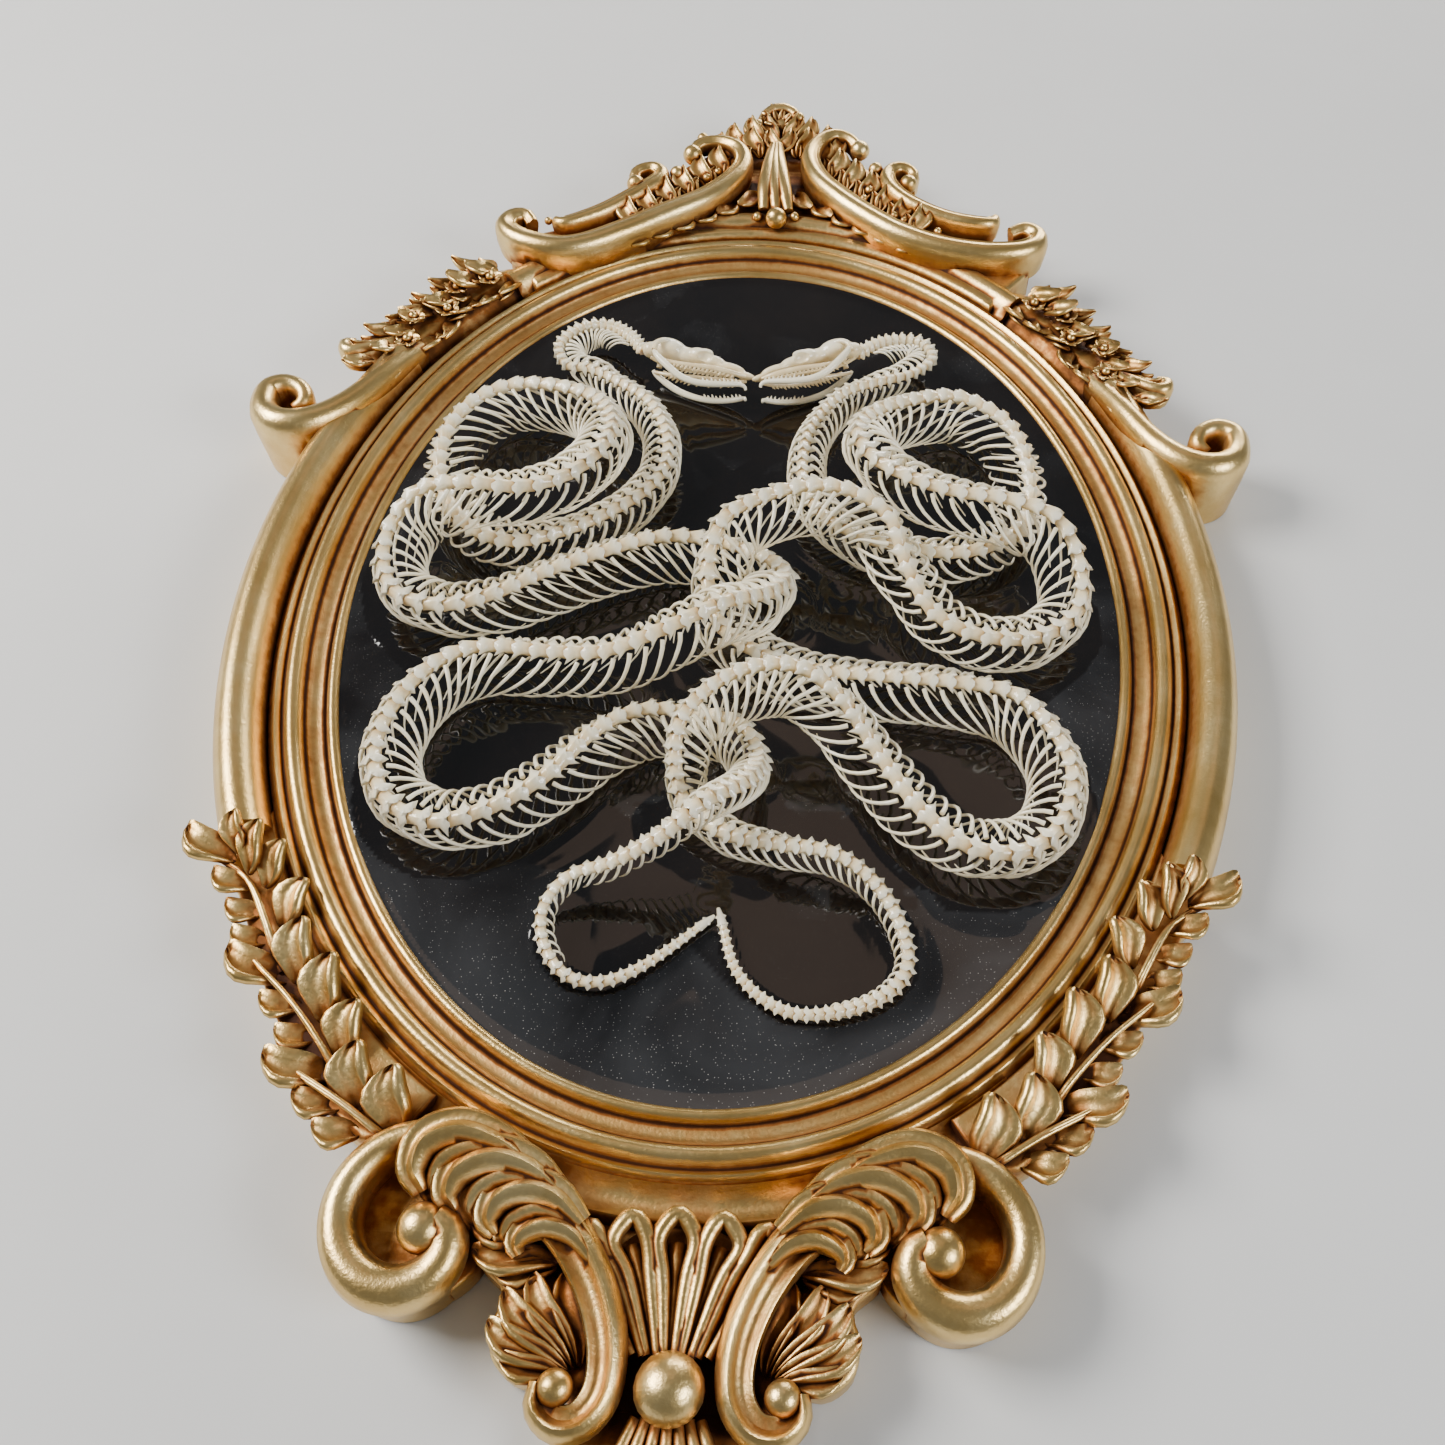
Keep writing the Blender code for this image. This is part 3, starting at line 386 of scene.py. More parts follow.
def gilt_material():
    """Champagne gilding over a cast frame, with copper glaze and dark brown wax left in the hollows, and
    painted shade that takes the deepest hollows to near black.
    """
    gilt = Finish("antique_gilt", 70.0, 1500.0, 0.00012)
    speck = gilt.noise(420.0, 4.0)
    # The hollow mark says how enclosed a point is. It drives the real copper glaze and brown wax, and
    # painted shade in the deepest hollows.
    depth = gilt.sum(speck, 0.34, gilt.mark("hollow"))
    leaf = gilt.ramp(gilt.cloud, (0.30, (0.66, 0.43, 0.14)), (0.5, (0.80, 0.55, 0.21)),
                     (0.70, (0.92, 0.69, 0.31)))
    # From copper glaze to brown wax, then to near black as painted shade where the hollows are deepest.
    wax_and_shade = gilt.ramp(depth, (0.40, (0.58, 0.27, 0.07)), (0.60, (0.30, 0.105, 0.022)),
                    (0.86, (0.045, 0.014, 0.005)))
    wax_and_shade_mask = gilt.ramp(depth, (0.31, 0.0), (0.46, 0.62), (0.62, 1.0))
    gilt.feed(gilt.mix(wax_and_shade_mask, leaf, wax_and_shade), "Base Color")
    gilt.feed(gilt.ramp(depth, (0.40, 1.0), (0.62, 0.75), (0.85, 0.25)), "Metallic")
    gilt.feed(gilt.ramp(gilt.sum(gilt.pits, 0.5, depth), (0.45, 0.30), (1.0, 0.60)), "Roughness")
    gilt.feed(gilt.ramp(depth, (0.42, 0.5), (0.75, 0.12)), "Specular IOR Level")
    return gilt.material


def resin_material():
    """Poured black resin, with fine silver flakes in drifts where the surface isn't a calm pool, and a
    painted grey sheen there that grows towards the foot.
    """
    resin = Finish("black_resin", 14.0, 35.0, 0.00006)
    flakes = resin.nodes.new("ShaderNodeTexVoronoi")
    flakes.inputs["Scale"].default_value = 2300.0
    resin.links.new(resin.place, flakes.inputs["Vector"])
    place = resin.nodes.new("ShaderNodeSeparateXYZ")
    resin.links.new(resin.place, place.inputs["Vector"])
    # Towards the foot, and where the pool isn't calm, the resin gets a painted grey sheen as well as more
    # flakes.
    towards_foot = resin.sum(place.outputs["Y"], -1.7, resin.noise(26.0, 4.0, 1.4))  # more towards the foot
    sheen_and_flake_drift = resin.ramp(resin.sum(resin.mark("calm"), -0.5, towards_foot), (0.40, 0.0), (0.76, 1.0))
    spark = resin.ramp(flakes.outputs["Distance"], (0.12, 1.0), (0.24, 0.0))
    chosen = resin.ramp(flakes.outputs["Color"], (0.62, 0.0), (0.74, 1.0))
    black = resin.ramp(resin.cloud, (0.35, (0.002, 0.002, 0.0025)), (0.7, (0.010, 0.007, 0.006)))
    silver = resin.ramp(flakes.outputs["Color"], (0.2, (0.12, 0.12, 0.13)), (0.8, (0.36, 0.35, 0.33)))
    shown = resin.mix(sheen_and_flake_drift, resin.ramp(spark, (0.0, 0.0), (1.0, 0.04)), spark)
    # This grey is a painted reflection, laid over the black resin where the drift mask is high.
    sheen_grey = resin.ramp(resin.cloud, (0.3, (0.020, 0.021, 0.023)), (0.7, (0.036, 0.036, 0.038)))
    black_with_painted_sheen = resin.mix(sheen_and_flake_drift, black, sheen_grey)
    seen = resin.mix(chosen, resin.ramp(spark, (0.0, 0.0), (1.0, 0.02)), shown)
    resin.feed(resin.mix(seen, black_with_painted_sheen, silver), "Base Color")
    resin.feed(resin.ramp(resin.cloud, (0.35, 0.035), (0.75, 0.10)), "Roughness")
    resin.set(Coat_Weight=0.35, Coat_Roughness=0.03, IOR=1.45)
    return resin.material


BONE = bone_material()
GILT = gilt_material()
RESIN = resin_material()


# The skeletons --------------------------------------------------------------------------------

PITCHES = [(0, 1.65), (15, 1.85), (30, 2.15), (50, 2.5), (80, 2.95), (110, 3.35), (160, 3.65), (270, 3.85),
           (320, 3.6), (440, 3.35), (510, 3.5), (545, 3.1), (575, 2.6), (605, 2.45), (630, 2.15),
           (655, 1.75), (700, 1.45)]  # millimetres along the backbone, and the length of a vertebra there


class Backbone:
    """A route with its directions, in half-millimetre steps, and the places of its vertebrae."""

    STEP = 0.5 * MM
    HEADING_STEPS = 7  # over which the heading is averaged, and the turn over more
    TURN_STEPS = 33

    def __init__(self, route, roll_side):
        scaled = [(x * MM, y * MM, h * MM + RESIN_HEIGHT) for x, y, h in route]
        self.points = dense(scaled, self.STEP)
        self.length = self.STEP * (len(self.points) - 1)
        heading = np.gradient(self.points, axis=0)
        heading = self.averaged(heading, self.HEADING_STEPS)
        heading /= np.linalg.norm(heading, axis=1)[:, None]
        flat = heading * (1, 1, 0)
        flat /= np.linalg.norm(flat, axis=1)[:, None]
        turn = np.gradient(np.unwrap(np.arctan2(flat[:, 1], flat[:, 0]))) / self.STEP
        turn = self.averaged(turn[:, None], self.TURN_STEPS)[:, 0]
        level = np.stack([flat[:, 1], -flat[:, 0], 0 * flat[:, 0]], axis=1)  # to the heading's right
        distance = np.arange(len(self.points)) * self.STEP
        rolled = np.clip(1.25 - distance / NECK_TWIST, 0, 1)  # wholly for the first quarter
        lean = np.clip(LEAN * turn, -LEAN_LIMIT, LEAN_LIMIT) * (1 - rolled)
        lean = (lean + roll_side * NECK_ROLL * rolled)[:, None]
        up = np.cross(level, heading)
        side = level * np.cos(lean) - up * np.sin(lean)
        self.heading, self.side, self.up, self.turn = heading, side, np.cross(side, heading), turn
        self.stations = self.vertebra_stations()

    @staticmethod
    def averaged(values, width):
        padded = np.pad(values, ((width // 2, width // 2), (0, 0)), "edge")
        window = np.ones(width) / width
        return np.stack([np.convolve(column, window, "valid") for column in padded.T], axis=1)

    def vertebra_stations(self):
        """The distance along the route and the length of each vertebra."""
        marks, sizes = zip(*PITCHES)
        stations = []
        along = 0.0
        while along < self.length - 1.2 * MM:
            pitch = float(np.interp(along / MM, marks, sizes)) * MM
            stations.append((along + pitch / 2, pitch))
            along += pitch
        return stations

    def at(self, along):
        """The place, heading, side, up and turn at this distance from the head."""
        k = min(along / self.STEP, len(self.points) - 1)
        i = int(k)
        j = min(i + 1, len(self.points) - 1)
        t = k - i
        return [(1 - t) * field[i] + t * field[j]
                for field in (self.points, self.heading, self.side, self.up, self.turn)]


def cage_size(share):
    """Half width and depth of the rib cage at a share of the way from the head to the tail's tip."""
    grown = min(1.0, 0.46 + 2.6 * share)
    tail = min(1.0, max(0.0, (share - 0.80) / 0.13))  # it narrows from 80 to 93% of the way
    size = grown * (1 - 0.76 * tail ** 0.9)
    return CAGE_HALF_WIDTH * size, CAGE_DEPTH * size


def wing_width(share):
    """What a vertebra's width is multiplied by, at a share of the way from head to tail."""
    return float(np.interp(share, (0, 0.04, 0.10, 0.2, 0.5, 0.8, 0.88, 0.93, 0.97, 1.0),
                           (1.6, 1.95, 2.4, 2.7, 2.8, 2.75, 2.2, 1.85, 1.4, 1.0))) * MM


# Along a vertebra 1 long, how stained it is: most at the front joint.
VERTEBRA_STAIN = [(-0.5, 0.66), (-0.2, 0.34), (0.1, 0.10), (0.3, -0.05), (0.5, -0.05)]


def vertebra(reach, waist, pinch, spine, core):
    """A vertebra 1 long: its waist in front, its lobes and pointed wings behind.

    Reach draws the wings out, waist and pinch are its width and height in front, spine raises its crest,
    and core widens it all.
    """
    bpy.ops.mesh.primitive_cylinder_add(vertices=12, radius=0.62, depth=1.0, rotation=(0, math.pi / 2, 0))
    bone = bpy.context.object
    settle(bone)
    edit(bone)
    cut(-0.2, 0.1, 0.3)
    pick(lambda v: v.x < -0.4)  # the front joint, under the lobes of the bone before it
    spread(y=1.12 * waist, z=0.66)
    pick(lambda v: abs(v.x + 0.2) < 0.05)  # the waist
    spread(y=waist, z=pinch)
    pick(lambda v: abs(v.x - 0.1) < 0.05)
    spread(y=0.82)
    pick(lambda v: abs(v.x - 0.3) < 0.05 and abs(v.z) > 0.4)
    spread(y=1.0, z=1.04)
    pick(lambda v: abs(v.x - 0.3) < 0.05 and 0.2 < abs(v.z) < 0.4)
    spread(y=1.55)
    shift(x=0.07)
    pick(lambda v: abs(v.x - 0.3) < 0.05 and abs(v.z) < 0.1 and abs(v.y) > 0.6)  # the pointed wings
    spread(y=reach)
    shift(x=0.24, z=0.08)
    pick(lambda v: v.x > 0.49 and abs(v.y) < 0.9 and v.z > -0.1)  # the rear lobes
    spread(y=0.80, z=1.08)
    pick(lambda v: v.x > 0.49 and 0.2 < abs(v.y) < 0.58 and v.z > 0.2)
    shift(x=0.14, z=0.02)
    pick(lambda v: v.x > 0.49 and abs(v.y) < 0.1 and v.z > 0.3)  # the notch between them
    shift(x=-0.10, z=0.02)
    pick(lambda v: -0.3 < v.x < 0.4 and abs(v.y) < 0.1 and v.z > 0.3)  # the low ridge
    shift(z=0.12)
    pick(lambda v: 0.05 < v.x < 0.4 and abs(v.y) < 0.1 and v.z > 0.3)
    shift(x=0.1, z=spine)
    pick(lambda v: v.z < -0.25)  # the body below
    spread(y=0.62)
    pick(lambda v: v.x > 0.4 and v.z < -0.25)
    shift(x=0.06, z=0.12)
    bpy.ops.mesh.select_all(action="SELECT")
    spread(y=core)
    leave()
    smooth(66)
    stain = bone.data.attributes.new("stain", "FLOAT", "POINT")
    for vert, mark in zip(bone.data.vertices, stain.data):
        mark.value = float(np.interp(vert.co.x, *zip(*VERTEBRA_STAIN)))
        # The vertebra is also made darker towards its underside.
        mark.value += 0.22 * max(0.0, -vert.co.z)
    return bone


def backbone_piece(name, spine):
    """All the vertebrae, set along the route, and the cone that ends the tail."""
    neck = vertebra(1.35, 0.72, 0.58, 0.12, 1.0)
    trunk = vertebra(1.76, 0.78, 0.80, 0.05, 1.0)
    tail = vertebra(1.3, 0.90, 0.88, 0.05, 1.2)
    bones = []
    for number, (along, pitch) in enumerate(spine.stations):
        place, heading, side, up, _ = spine.at(along)
        width = wing_width(along / spine.length)
        tall = width * (0.88 + 0.60 * max(0.0, 1 - along / NECK_TWIST))
        master = neck if along < 0.8 * NECK_TWIST else tail if along > 0.86 * spine.length else trunk
        matrix = Matrix.Identity(4)
        for column, axis in enumerate((heading * pitch, -side * width, up * tall)):
            for row in range(3):
                matrix[row][column] = axis[row]
        matrix.translation = place
        bones.append(copied(master, f"{name}_{number}", matrix))
    discard(neck, trunk, tail)
    bpy.ops.mesh.primitive_cone_add(vertices=12, radius1=0.85 * MM, radius2=0.32 * MM, depth=3.6 * MM)
    tip = bpy.context.object
    settle(tip)
    edit(tip)
    cut(-0.8 * MM, 0.8 * MM, axis=2)
    pick(lambda v: abs(v.z) < MM)
    spread(x=1.12, y=1.12)
    leave()
    smooth(60)
    place, heading, _, _, _ = spine.at(spine.length)
    tip.rotation_euler = Vector(heading).to_track_quat("Z", "Y").to_euler()
    tip.location = place
    return joined(name, bones + [tip])


RIB_SHAPE = (1.25, 1.0, 0.88, 0.76, 0.6, 0.26)  # its thickness from the root to the tip
RIB_SWEEP = 3.6  # how far back a rib reaches, in vertebrae


def rib_points(spine, along, pitch, hand, width, depth):
    """A rib's points: out from the backbone, then back and down along the body's own line."""
    wing = wing_width(along / spine.length)
    sway = 1.0 + 0.06 * math.sin(along / MM * 1.9) + 0.04 * math.sin(along / MM * 0.73 + hand)
    early = max(0.0, 1 - along / NECK_TWIST)
    sweep = (RIB_SWEEP - early) * sway * pitch * min(1.0, width / (4.4 * MM) + 0.4 * early)
    points = []
    for t in np.linspace(0, 1, RIB_POINTS):
        place, _, side, up, turn = spine.at(min(along + sweep * t ** 1.35, spine.length))
        inward = hand * -turn
        # Inside a bend a rib stays short of the bend's centre, and outside it is drawn in a little.
        reach = min(width, 0.72 / inward) if inward > 0 else width * (1 - min(0.3, -4 * MM * inward))
        arc = math.radians(RIB_START + RIB_ARC * t)
        out = max(0.42 * wing * (1 - t), reach * math.sin(arc) * (1 - 0.10 * t))
        down = (0.12 + (0.88 - 0.4 * t) * early) * wing
        down += depth * (math.cos(math.radians(RIB_START)) - math.cos(arc)) / 1.85
        point = place + hand * side * out - up * down
        point[2] = max(point[2], RESIN_HEIGHT + 0.25 * MM)
        points.append(point)
    return points


def rib_piece(name, spine):
    """All the ribs, as round bars that thin towards their tips."""
    lines = []
    for along, pitch in spine.stations[RIB_BARE:]:
        share = along / spine.length
        if share > RIB_END:
            continue
        width, depth = cage_size(share)
        thick = RIB_THICKNESS / 2 * min(1.0, 0.15 + wing_width(share) / (2.6 * MM) * 0.85)
        for hand in (1, -1):
            if hand * spine.at(along)[2][2] < HIDDEN_SIDE:
                continue
            points = rib_points(spine, along - 0.12 * pitch, pitch, hand, width, depth)
            sizes = np.interp(np.linspace(0, 1, len(points)), np.linspace(0, 1, len(RIB_SHAPE)), RIB_SHAPE)
            lines.append([(*point, thick * size) for point, size in zip(points, sizes)])
    only(placed(name, drawn(name, lines, bevel_depth=1.0, bevel_resolution=1, use_fill_caps=True)))
    bpy.ops.object.convert(target="MESH")
    bpy.ops.object.shade_smooth()
    return bpy.context.object


LEFT_NODES = ["neck_left", "neck_right", "tail"]
for number in range(1, 8):
    LEFT_NODES += [f"trunk_{number}_left", f"trunk_{number}_right"]

left_spine = Backbone(LEFT_ROUTE, 1)
right_spine = Backbone(RIGHT_ROUTE, -1)
for name, spine, nodes in (("left", left_spine, LEFT_NODES), ("right", right_spine, ["second_snake"])):
    finish_piece(backbone_piece(f"{name}_backbone", spine), BONE, "bone", *nodes)
    finish_piece(rib_piece(f"{name}_ribs", spine), BONE, "bone", *nodes)


# The skulls -------------------------------------------------------------------------------

# Everything here is in millimetres in the head's own directions: ahead, outwards, towards the crown.
# A lump is its centre and its half sizes, and a bar's point ends with the bar's half thickness.
BRAINCASE = [
    ((0.4, 0, 1.5), (2.0, 2.2, 1.8)), ((4.4, 0, 2.4), (4.3, 3.3, 2.55)), ((8.6, 0, 1.9), (3.0, 2.2, 1.9)),
    ((11.4, 0, 2.1), (2.9, 2.9, 2.0)), ((14.6, 0, 1.6), (3.4, 2.2, 1.5)), ((18.4, 0, 0.9), (4.2, 1.9, 1.2)),
    ((22.6, 0, 0.0), (2.5, 1.2, 0.8)), ((13.2, 2.3, 2.9), (1.7, 0.5, 0.6)),
    ((13.2, -2.3, 2.9), (1.7, 0.5, 0.6)),
]
SOCKETS = [
    ((13.2, 2.9, 1.2), (2.0, 1.5, 1.5)), ((17.6, 2.2, 1.3), (1.1, 0.9, 0.7)),
    ((7.9, 3.2, 1.4), (1.5, 1.2, 1.2)),
]
UPPER_JAW = [
    (23.0, 1.1, -0.7, 0.40), (19.6, 2.6, -1.1, 0.66), (15.0, 3.6, -1.5, 0.62), (10.5, 3.9, -2.0, 0.52),
    (6.5, 3.6, -2.0, 0.44), (3.6, 3.4, -1.5, 0.36),
]
PALATE_BAR = [
    (20.5, 0.8, -1.2, 0.34), (15.0, 1.3, -1.7, 0.42), (9.5, 1.7, -2.2, 0.48), (4.5, 2.6, -2.3, 0.46),
    (1.6, 3.6, -1.9, 0.36),
]
QUADRATE = [(5.2, 2.3, 3.2, 0.45), (3.6, 3.3, 3.0, 0.58), (2.3, 4.1, 1.6, 0.55), (2.2, 4.5, -0.4, 0.64)]
NEAR_JAW = [
    (2.2, 4.3, -0.5, 0.48), (3.4, 4.7, -1.8, 0.72), (6.5, 4.9, -3.9, 0.82), (9.6, 4.8, -5.5, 0.78),
    (12.9, 4.5, -6.0, 0.74), (16.5, 3.9, -5.4, 0.70), (19.8, 2.9, -4.2, 0.62), (22.1, 2.0, -3.3, 0.52),
    (23.4, 1.4, -3.2, 0.44), (23.9, 1.1, -3.9, 0.30),
]
FAR_JAW = [
    (1.0, 4.2, -1.3, 0.40), (2.2, 4.5, -2.2, 0.62), (5.2, 4.8, -3.7, 0.76), (8.5, 4.8, -4.9, 0.76),
    (12.2, 4.4, -5.6, 0.72), (15.9, 3.8, -5.8, 0.68), (19.8, 2.9, -5.4, 0.62), (22.6, 2.0, -4.8, 0.54),
    (23.6, 1.4, -4.7, 0.44), (24.0, 1.2, -5.2, 0.30),
]


def head_matrix(back, snout, side):
    """Places a head built in its own directions; side is 1 for the left-hand snake, -1 for the other."""
    start, end = (Vector((x, y, h + RESIN_LEVEL)) for x, y, h in (back, snout))
    ahead = (end - start).normalized()
    level = Vector((0, 0, 1)).cross(ahead).normalized() * side
    above = ahead.cross(level).normalized() * side
    crown = above * math.cos(HEAD_ROLL) + level * math.sin(HEAD_ROLL)
    outer = above * math.sin(HEAD_ROLL) - level * math.cos(HEAD_ROLL)
    matrix = Matrix((ahead, outer, crown)).transposed().to_4x4()
    matrix.translation = start
    return Matrix.Scale(MM, 4) @ matrix


def lump(centre, size):
    bpy.ops.mesh.primitive_uv_sphere_add(segments=24, ring_count=12, radius=1, location=centre)
    ball = bpy.context.object
    ball.scale = size
    settle(ball)
    return ball


def braincase():
    """The skull's rounded case with its snout, hollowed at the eyes and behind them."""
    case = joined("case", [lump(centre, size) for centre, size in BRAINCASE])
    worked(case, "REMESH", mode="VOXEL", voxel_size=0.28)
    worked(case, "SMOOTH", iterations=7)
    for (x, y, z), size in SOCKETS:
        for hand in (1, -1):
            socket = lump((x, hand * y, z), size)
            worked(case, "BOOLEAN", object=socket, operation="DIFFERENCE")
            discard(socket)
    only(case)
    smooth(50)
    return case


def bow(points, hand=1, sag=0.0, sides=3, step=0.6):
    """A round bone bar through the points, mirrored where hand is -1 and lowered by the sag."""
    line = [(x, hand * y, z - sag, size) for x, y, z, size in dense(points, step)]
    return as_mesh("bow", drawn("bow", [line], bevel_depth=1.0, bevel_resolution=sides, use_fill_caps=True))


def teeth(points, hand, first, last, sag=0.0, length=1.0, up=-1):
    """Small teeth that hook backwards, in a row along a jaw bar."""
    made = []
    line = dense(points, 0.95)
    for number, (x, y, z, size) in enumerate(line):
        if not first <= x <= last:
            continue
        foot = z - sag + up * 0.6 * size
        tall = up * length * (0.84 + 0.22 * math.sin(2.3 * number))
        tooth = [(x, y, foot, 0.34), (x - 0.15, y, foot + 0.5 * tall, 0.26),
                 (x - 0.45, y, foot + tall, 0.08)]
        made.append(bow(tooth, hand, sides=1, step=0.5))
    return made


RIGHT_JAW_LIFT = 1.2
FAR_QUADRATE = -0.9  # how far out the far quadrate lies, as a share of the near one
MANDIBLE_STAIN = -0.08


def skull_pieces(name, head, side, case):
    """The case with its upper jaw, and the two mandibles, the near one and the far one."""
    matrix = head_matrix(*head, side)
    upper = [copied(case, f"{name}_case", Matrix.Identity(4))]
    for hand in (1, -1):
        upper.append(bow(UPPER_JAW, hand))
        upper.append(bow(PALATE_BAR, hand))
        upper.append(bow(QUADRATE, 1 if hand > 0 else FAR_QUADRATE))
        upper += teeth(UPPER_JAW, hand, 4, 21)
        upper += teeth(PALATE_BAR, hand, 6, 19, length=0.7)
    pieces = [joined(f"{name}_skull", upper)]
    near_sag = 0.0 if side > 0 else -RIGHT_JAW_LIFT
    for hand, line, sag, label in ((1, NEAR_JAW, near_sag, "near"), (-1, FAR_JAW, 0.0, "far")):
        jaw = [bow(line, hand, sag)] + teeth(line, hand, 14, 23, sag, up=1)
        pieces.append(joined(f"{name}_{label}_mandible", jaw))
    for piece in pieces:
        piece.matrix_world = matrix
        settle(piece)
        edit(piece)
        face_outwards()
        leave()
        stain = piece.data.attributes.new("stain", "FLOAT", "POINT")
        inward = matrix.inverted()
        for vert, mark in zip(piece.data.vertices, stain.data):
            tan = min(0.34, 0.26 - 0.10 * (inward @ vert.co).z)
            mark.value = MANDIBLE_STAIN if "mandible" in piece.name else tan
    return pieces


# The gilt frame: its mouldings ------------------------------------------------------------

BACK = 0.2  # the height over the floor where the frame's plates start, in millimetres
SEAT = 12.8  # how far out from the opening the plates start, under the moulding's outer edge


def rim_point(angle, out=0.0):
    """A point in millimetres beside the oval opening, at this angle in degrees and this far out."""
    turn = math.radians(angle)
    x, y = HALF_WIDTH * math.cos(turn), HALF_LENGTH * math.sin(turn)
    normal = Vector((x / HALF_WIDTH ** 2, y / HALF_LENGTH ** 2)).normalized()
    return x + out * normal.x, y + out * normal.y


def ring_moulding(name, section, sides=200):
    """A section drawn outwards from the opening, one edge loop at a time."""
    out, height = section[0]
    bpy.ops.mesh.primitive_circle_add(vertices=sides, radius=1.0)
    ring = bpy.context.object
    ring.name = name
    ring.scale = ((HALF_WIDTH + out) * MM, (HALF_LENGTH + out) * MM, 1)
    ring.location.z = height * MM
    settle(ring)
    edit(ring)
    bpy.ops.mesh.select_all(action="SELECT")
    for further, higher in section[1:]:
        bpy.ops.mesh.extrude_edges_move()
        wider = (HALF_WIDTH + further) / (HALF_WIDTH + out)
        longer = (HALF_LENGTH + further) / (HALF_LENGTH + out)
        spread(wider, longer, 1.0, (0, 0, height * MM))
        shift(z=(higher - height) * MM)
        out, height = further, higher
    face_outwards(merge=True)
    leave()
    smooth(60)
    return ring


def inner_moulding():
    """The two beads with the cove between them, and the thin ridge outside."""
    section = [
        (0.0, 0.2), (0.0, 8.9), (0.15, 9.5), (0.6, 10.0), (1.2, 10.25), (1.8, 10.0), (2.25, 9.4),
        (2.5, 8.8), (2.75, 8.55), (3.0, 8.8), (3.6, 8.65), (4.5, 8.55), (5.3, 8.8), (5.9, 9.3), (6.25, 9.8),
        (6.45, 9.9), (6.6, 10.4), (6.8, 11.3), (7.2, 12.0), (7.9, 12.4), (8.6, 12.45), (9.2, 12.1),
        (9.7, 11.4), (10.05, 10.7), (10.4, 10.55), (10.75, 10.9), (11.1, 11.4), (11.5, 11.65), (11.9, 11.4),
        (12.2, 10.7), (12.5, 10.2), (13.1, 9.9), (13.1, 0.2), (0.0, 0.2),
    ]
    return ring_moulding("inner_moulding", section)


def arc_moulding(name, section, start, end, steps, narrow=0.0):
    """A section, outwards and up from the opening, along part of the oval. Its ends may narrow."""
    line = []
    for angle, place in zip(np.linspace(start, end, steps), np.linspace(-1, 1, steps)):
        x, y = rim_point(angle)
        line.append((x * MM, y * MM, 0, 1 - narrow * place ** 8))
    return swept(name, line, [(x * MM, y * MM) for x, y in section])


def swept(name, line, section):
    """The section swept along a line, upright all the way."""
    outline = [(x, y, 0, 1) for x, y in section]
    cutter = placed("section", drawn("section", [outline], flat=True, fill_mode="NONE"))
    curve = drawn(name, [line], twist_mode="Z_UP", use_fill_caps=True, bevel_mode="OBJECT",
                  bevel_object=cutter)
    return as_mesh(name, curve, [cutter])


def side_torus(side):
    """The smooth outer torus, at one side of the frame."""
    section = [
        (13.4, 0.2), (13.4, 9.2), (13.9, 11.6), (14.8, 13.7), (16.0, 15.1), (17.4, 15.8), (18.9, 15.9),
        (20.4, 15.2), (21.6, 13.8), (22.4, 12.0), (22.8, 9.6), (22.8, 0.2),
    ]
    start, end = (-30, 34) if side > 0 else (146, 210)
    return arc_moulding("torus_rail", section, start, end, 70)


# The carved bars, leaves and beads that the ornaments are made of -------------------------

# Sections of bars, outwards and up, in the bar's own size.
CREST = [
    (0.6, -1.5), (1.12, -1.1), (1.2, -0.3), (1.02, 0.4), (0.7, 0.86), (0.42, 1.0), (0.2, 0.86),
    (0.05, 0.45), (-0.3, 0.1), (-0.7, 0.12), (-0.95, 0.4), (-1.1, 0.48), (-1.22, 0.2), (-1.15, -1.5),
]
SCROLL = [
    (0.9, -2.6), (1.12, -1.2), (1.15, -0.2), (0.98, 0.45), (0.62, 0.86), (0.2, 1.0), (-0.2, 0.92),
    (-0.5, 0.66), (-0.78, 0.42), (-0.98, 0.5), (-1.16, 0.36), (-1.2, -0.2), (-1.15, -1.2), (-0.95, -2.6),
]
ROLL = [
    (0.80, -3.0), (1.05, -1.4), (1.1, -0.2), (0.95, 0.45), (0.55, 0.88), (0.0, 1.03), (-0.5, 0.9),
    (-0.88, 0.45), (-1.0, -0.2), (-0.8, -1.0), (-0.62, -1.6), (-0.6, -3.0),
]
FINGER = [
    (0.9, -1.3), (1.15, -0.4), (1.0, 0.35), (0.6, 0.9), (0.2, 1.0), (-0.12, 0.7), (-0.35, 0.36),
    (-0.62, 0.34), (-0.9, 0.56), (-1.12, 0.3), (-1.2, -0.4), (-1.0, -1.3),
]


def bar(path, section, step, sides=3):
    """A carved or, with no section, round bar along the path: x, y, height and size in millimetres."""
    line = dense([[value * MM for value in point] for point in path], step * MM)
    line = [(x, y, z, max(size, 0.05 * MM)) for x, y, z, size in line]
    if section:
        return swept("bar", line, section)
    curve = drawn("bar", [line], twist_mode="Z_UP", use_fill_caps=True, bevel_depth=1.0,
                  bevel_resolution=sides)
    return as_mesh("bar", curve)


def bead(x, y, z, radius, tall=1.0):
    bpy.ops.mesh.primitive_uv_sphere_add(segments=20, ring_count=12, radius=radius * MM,
                                         location=(x * MM, y * MM, z * MM))
    ball = bpy.context.object
    ball.scale.z = tall
    settle(ball)
    bpy.ops.object.shade_smooth()
    return ball


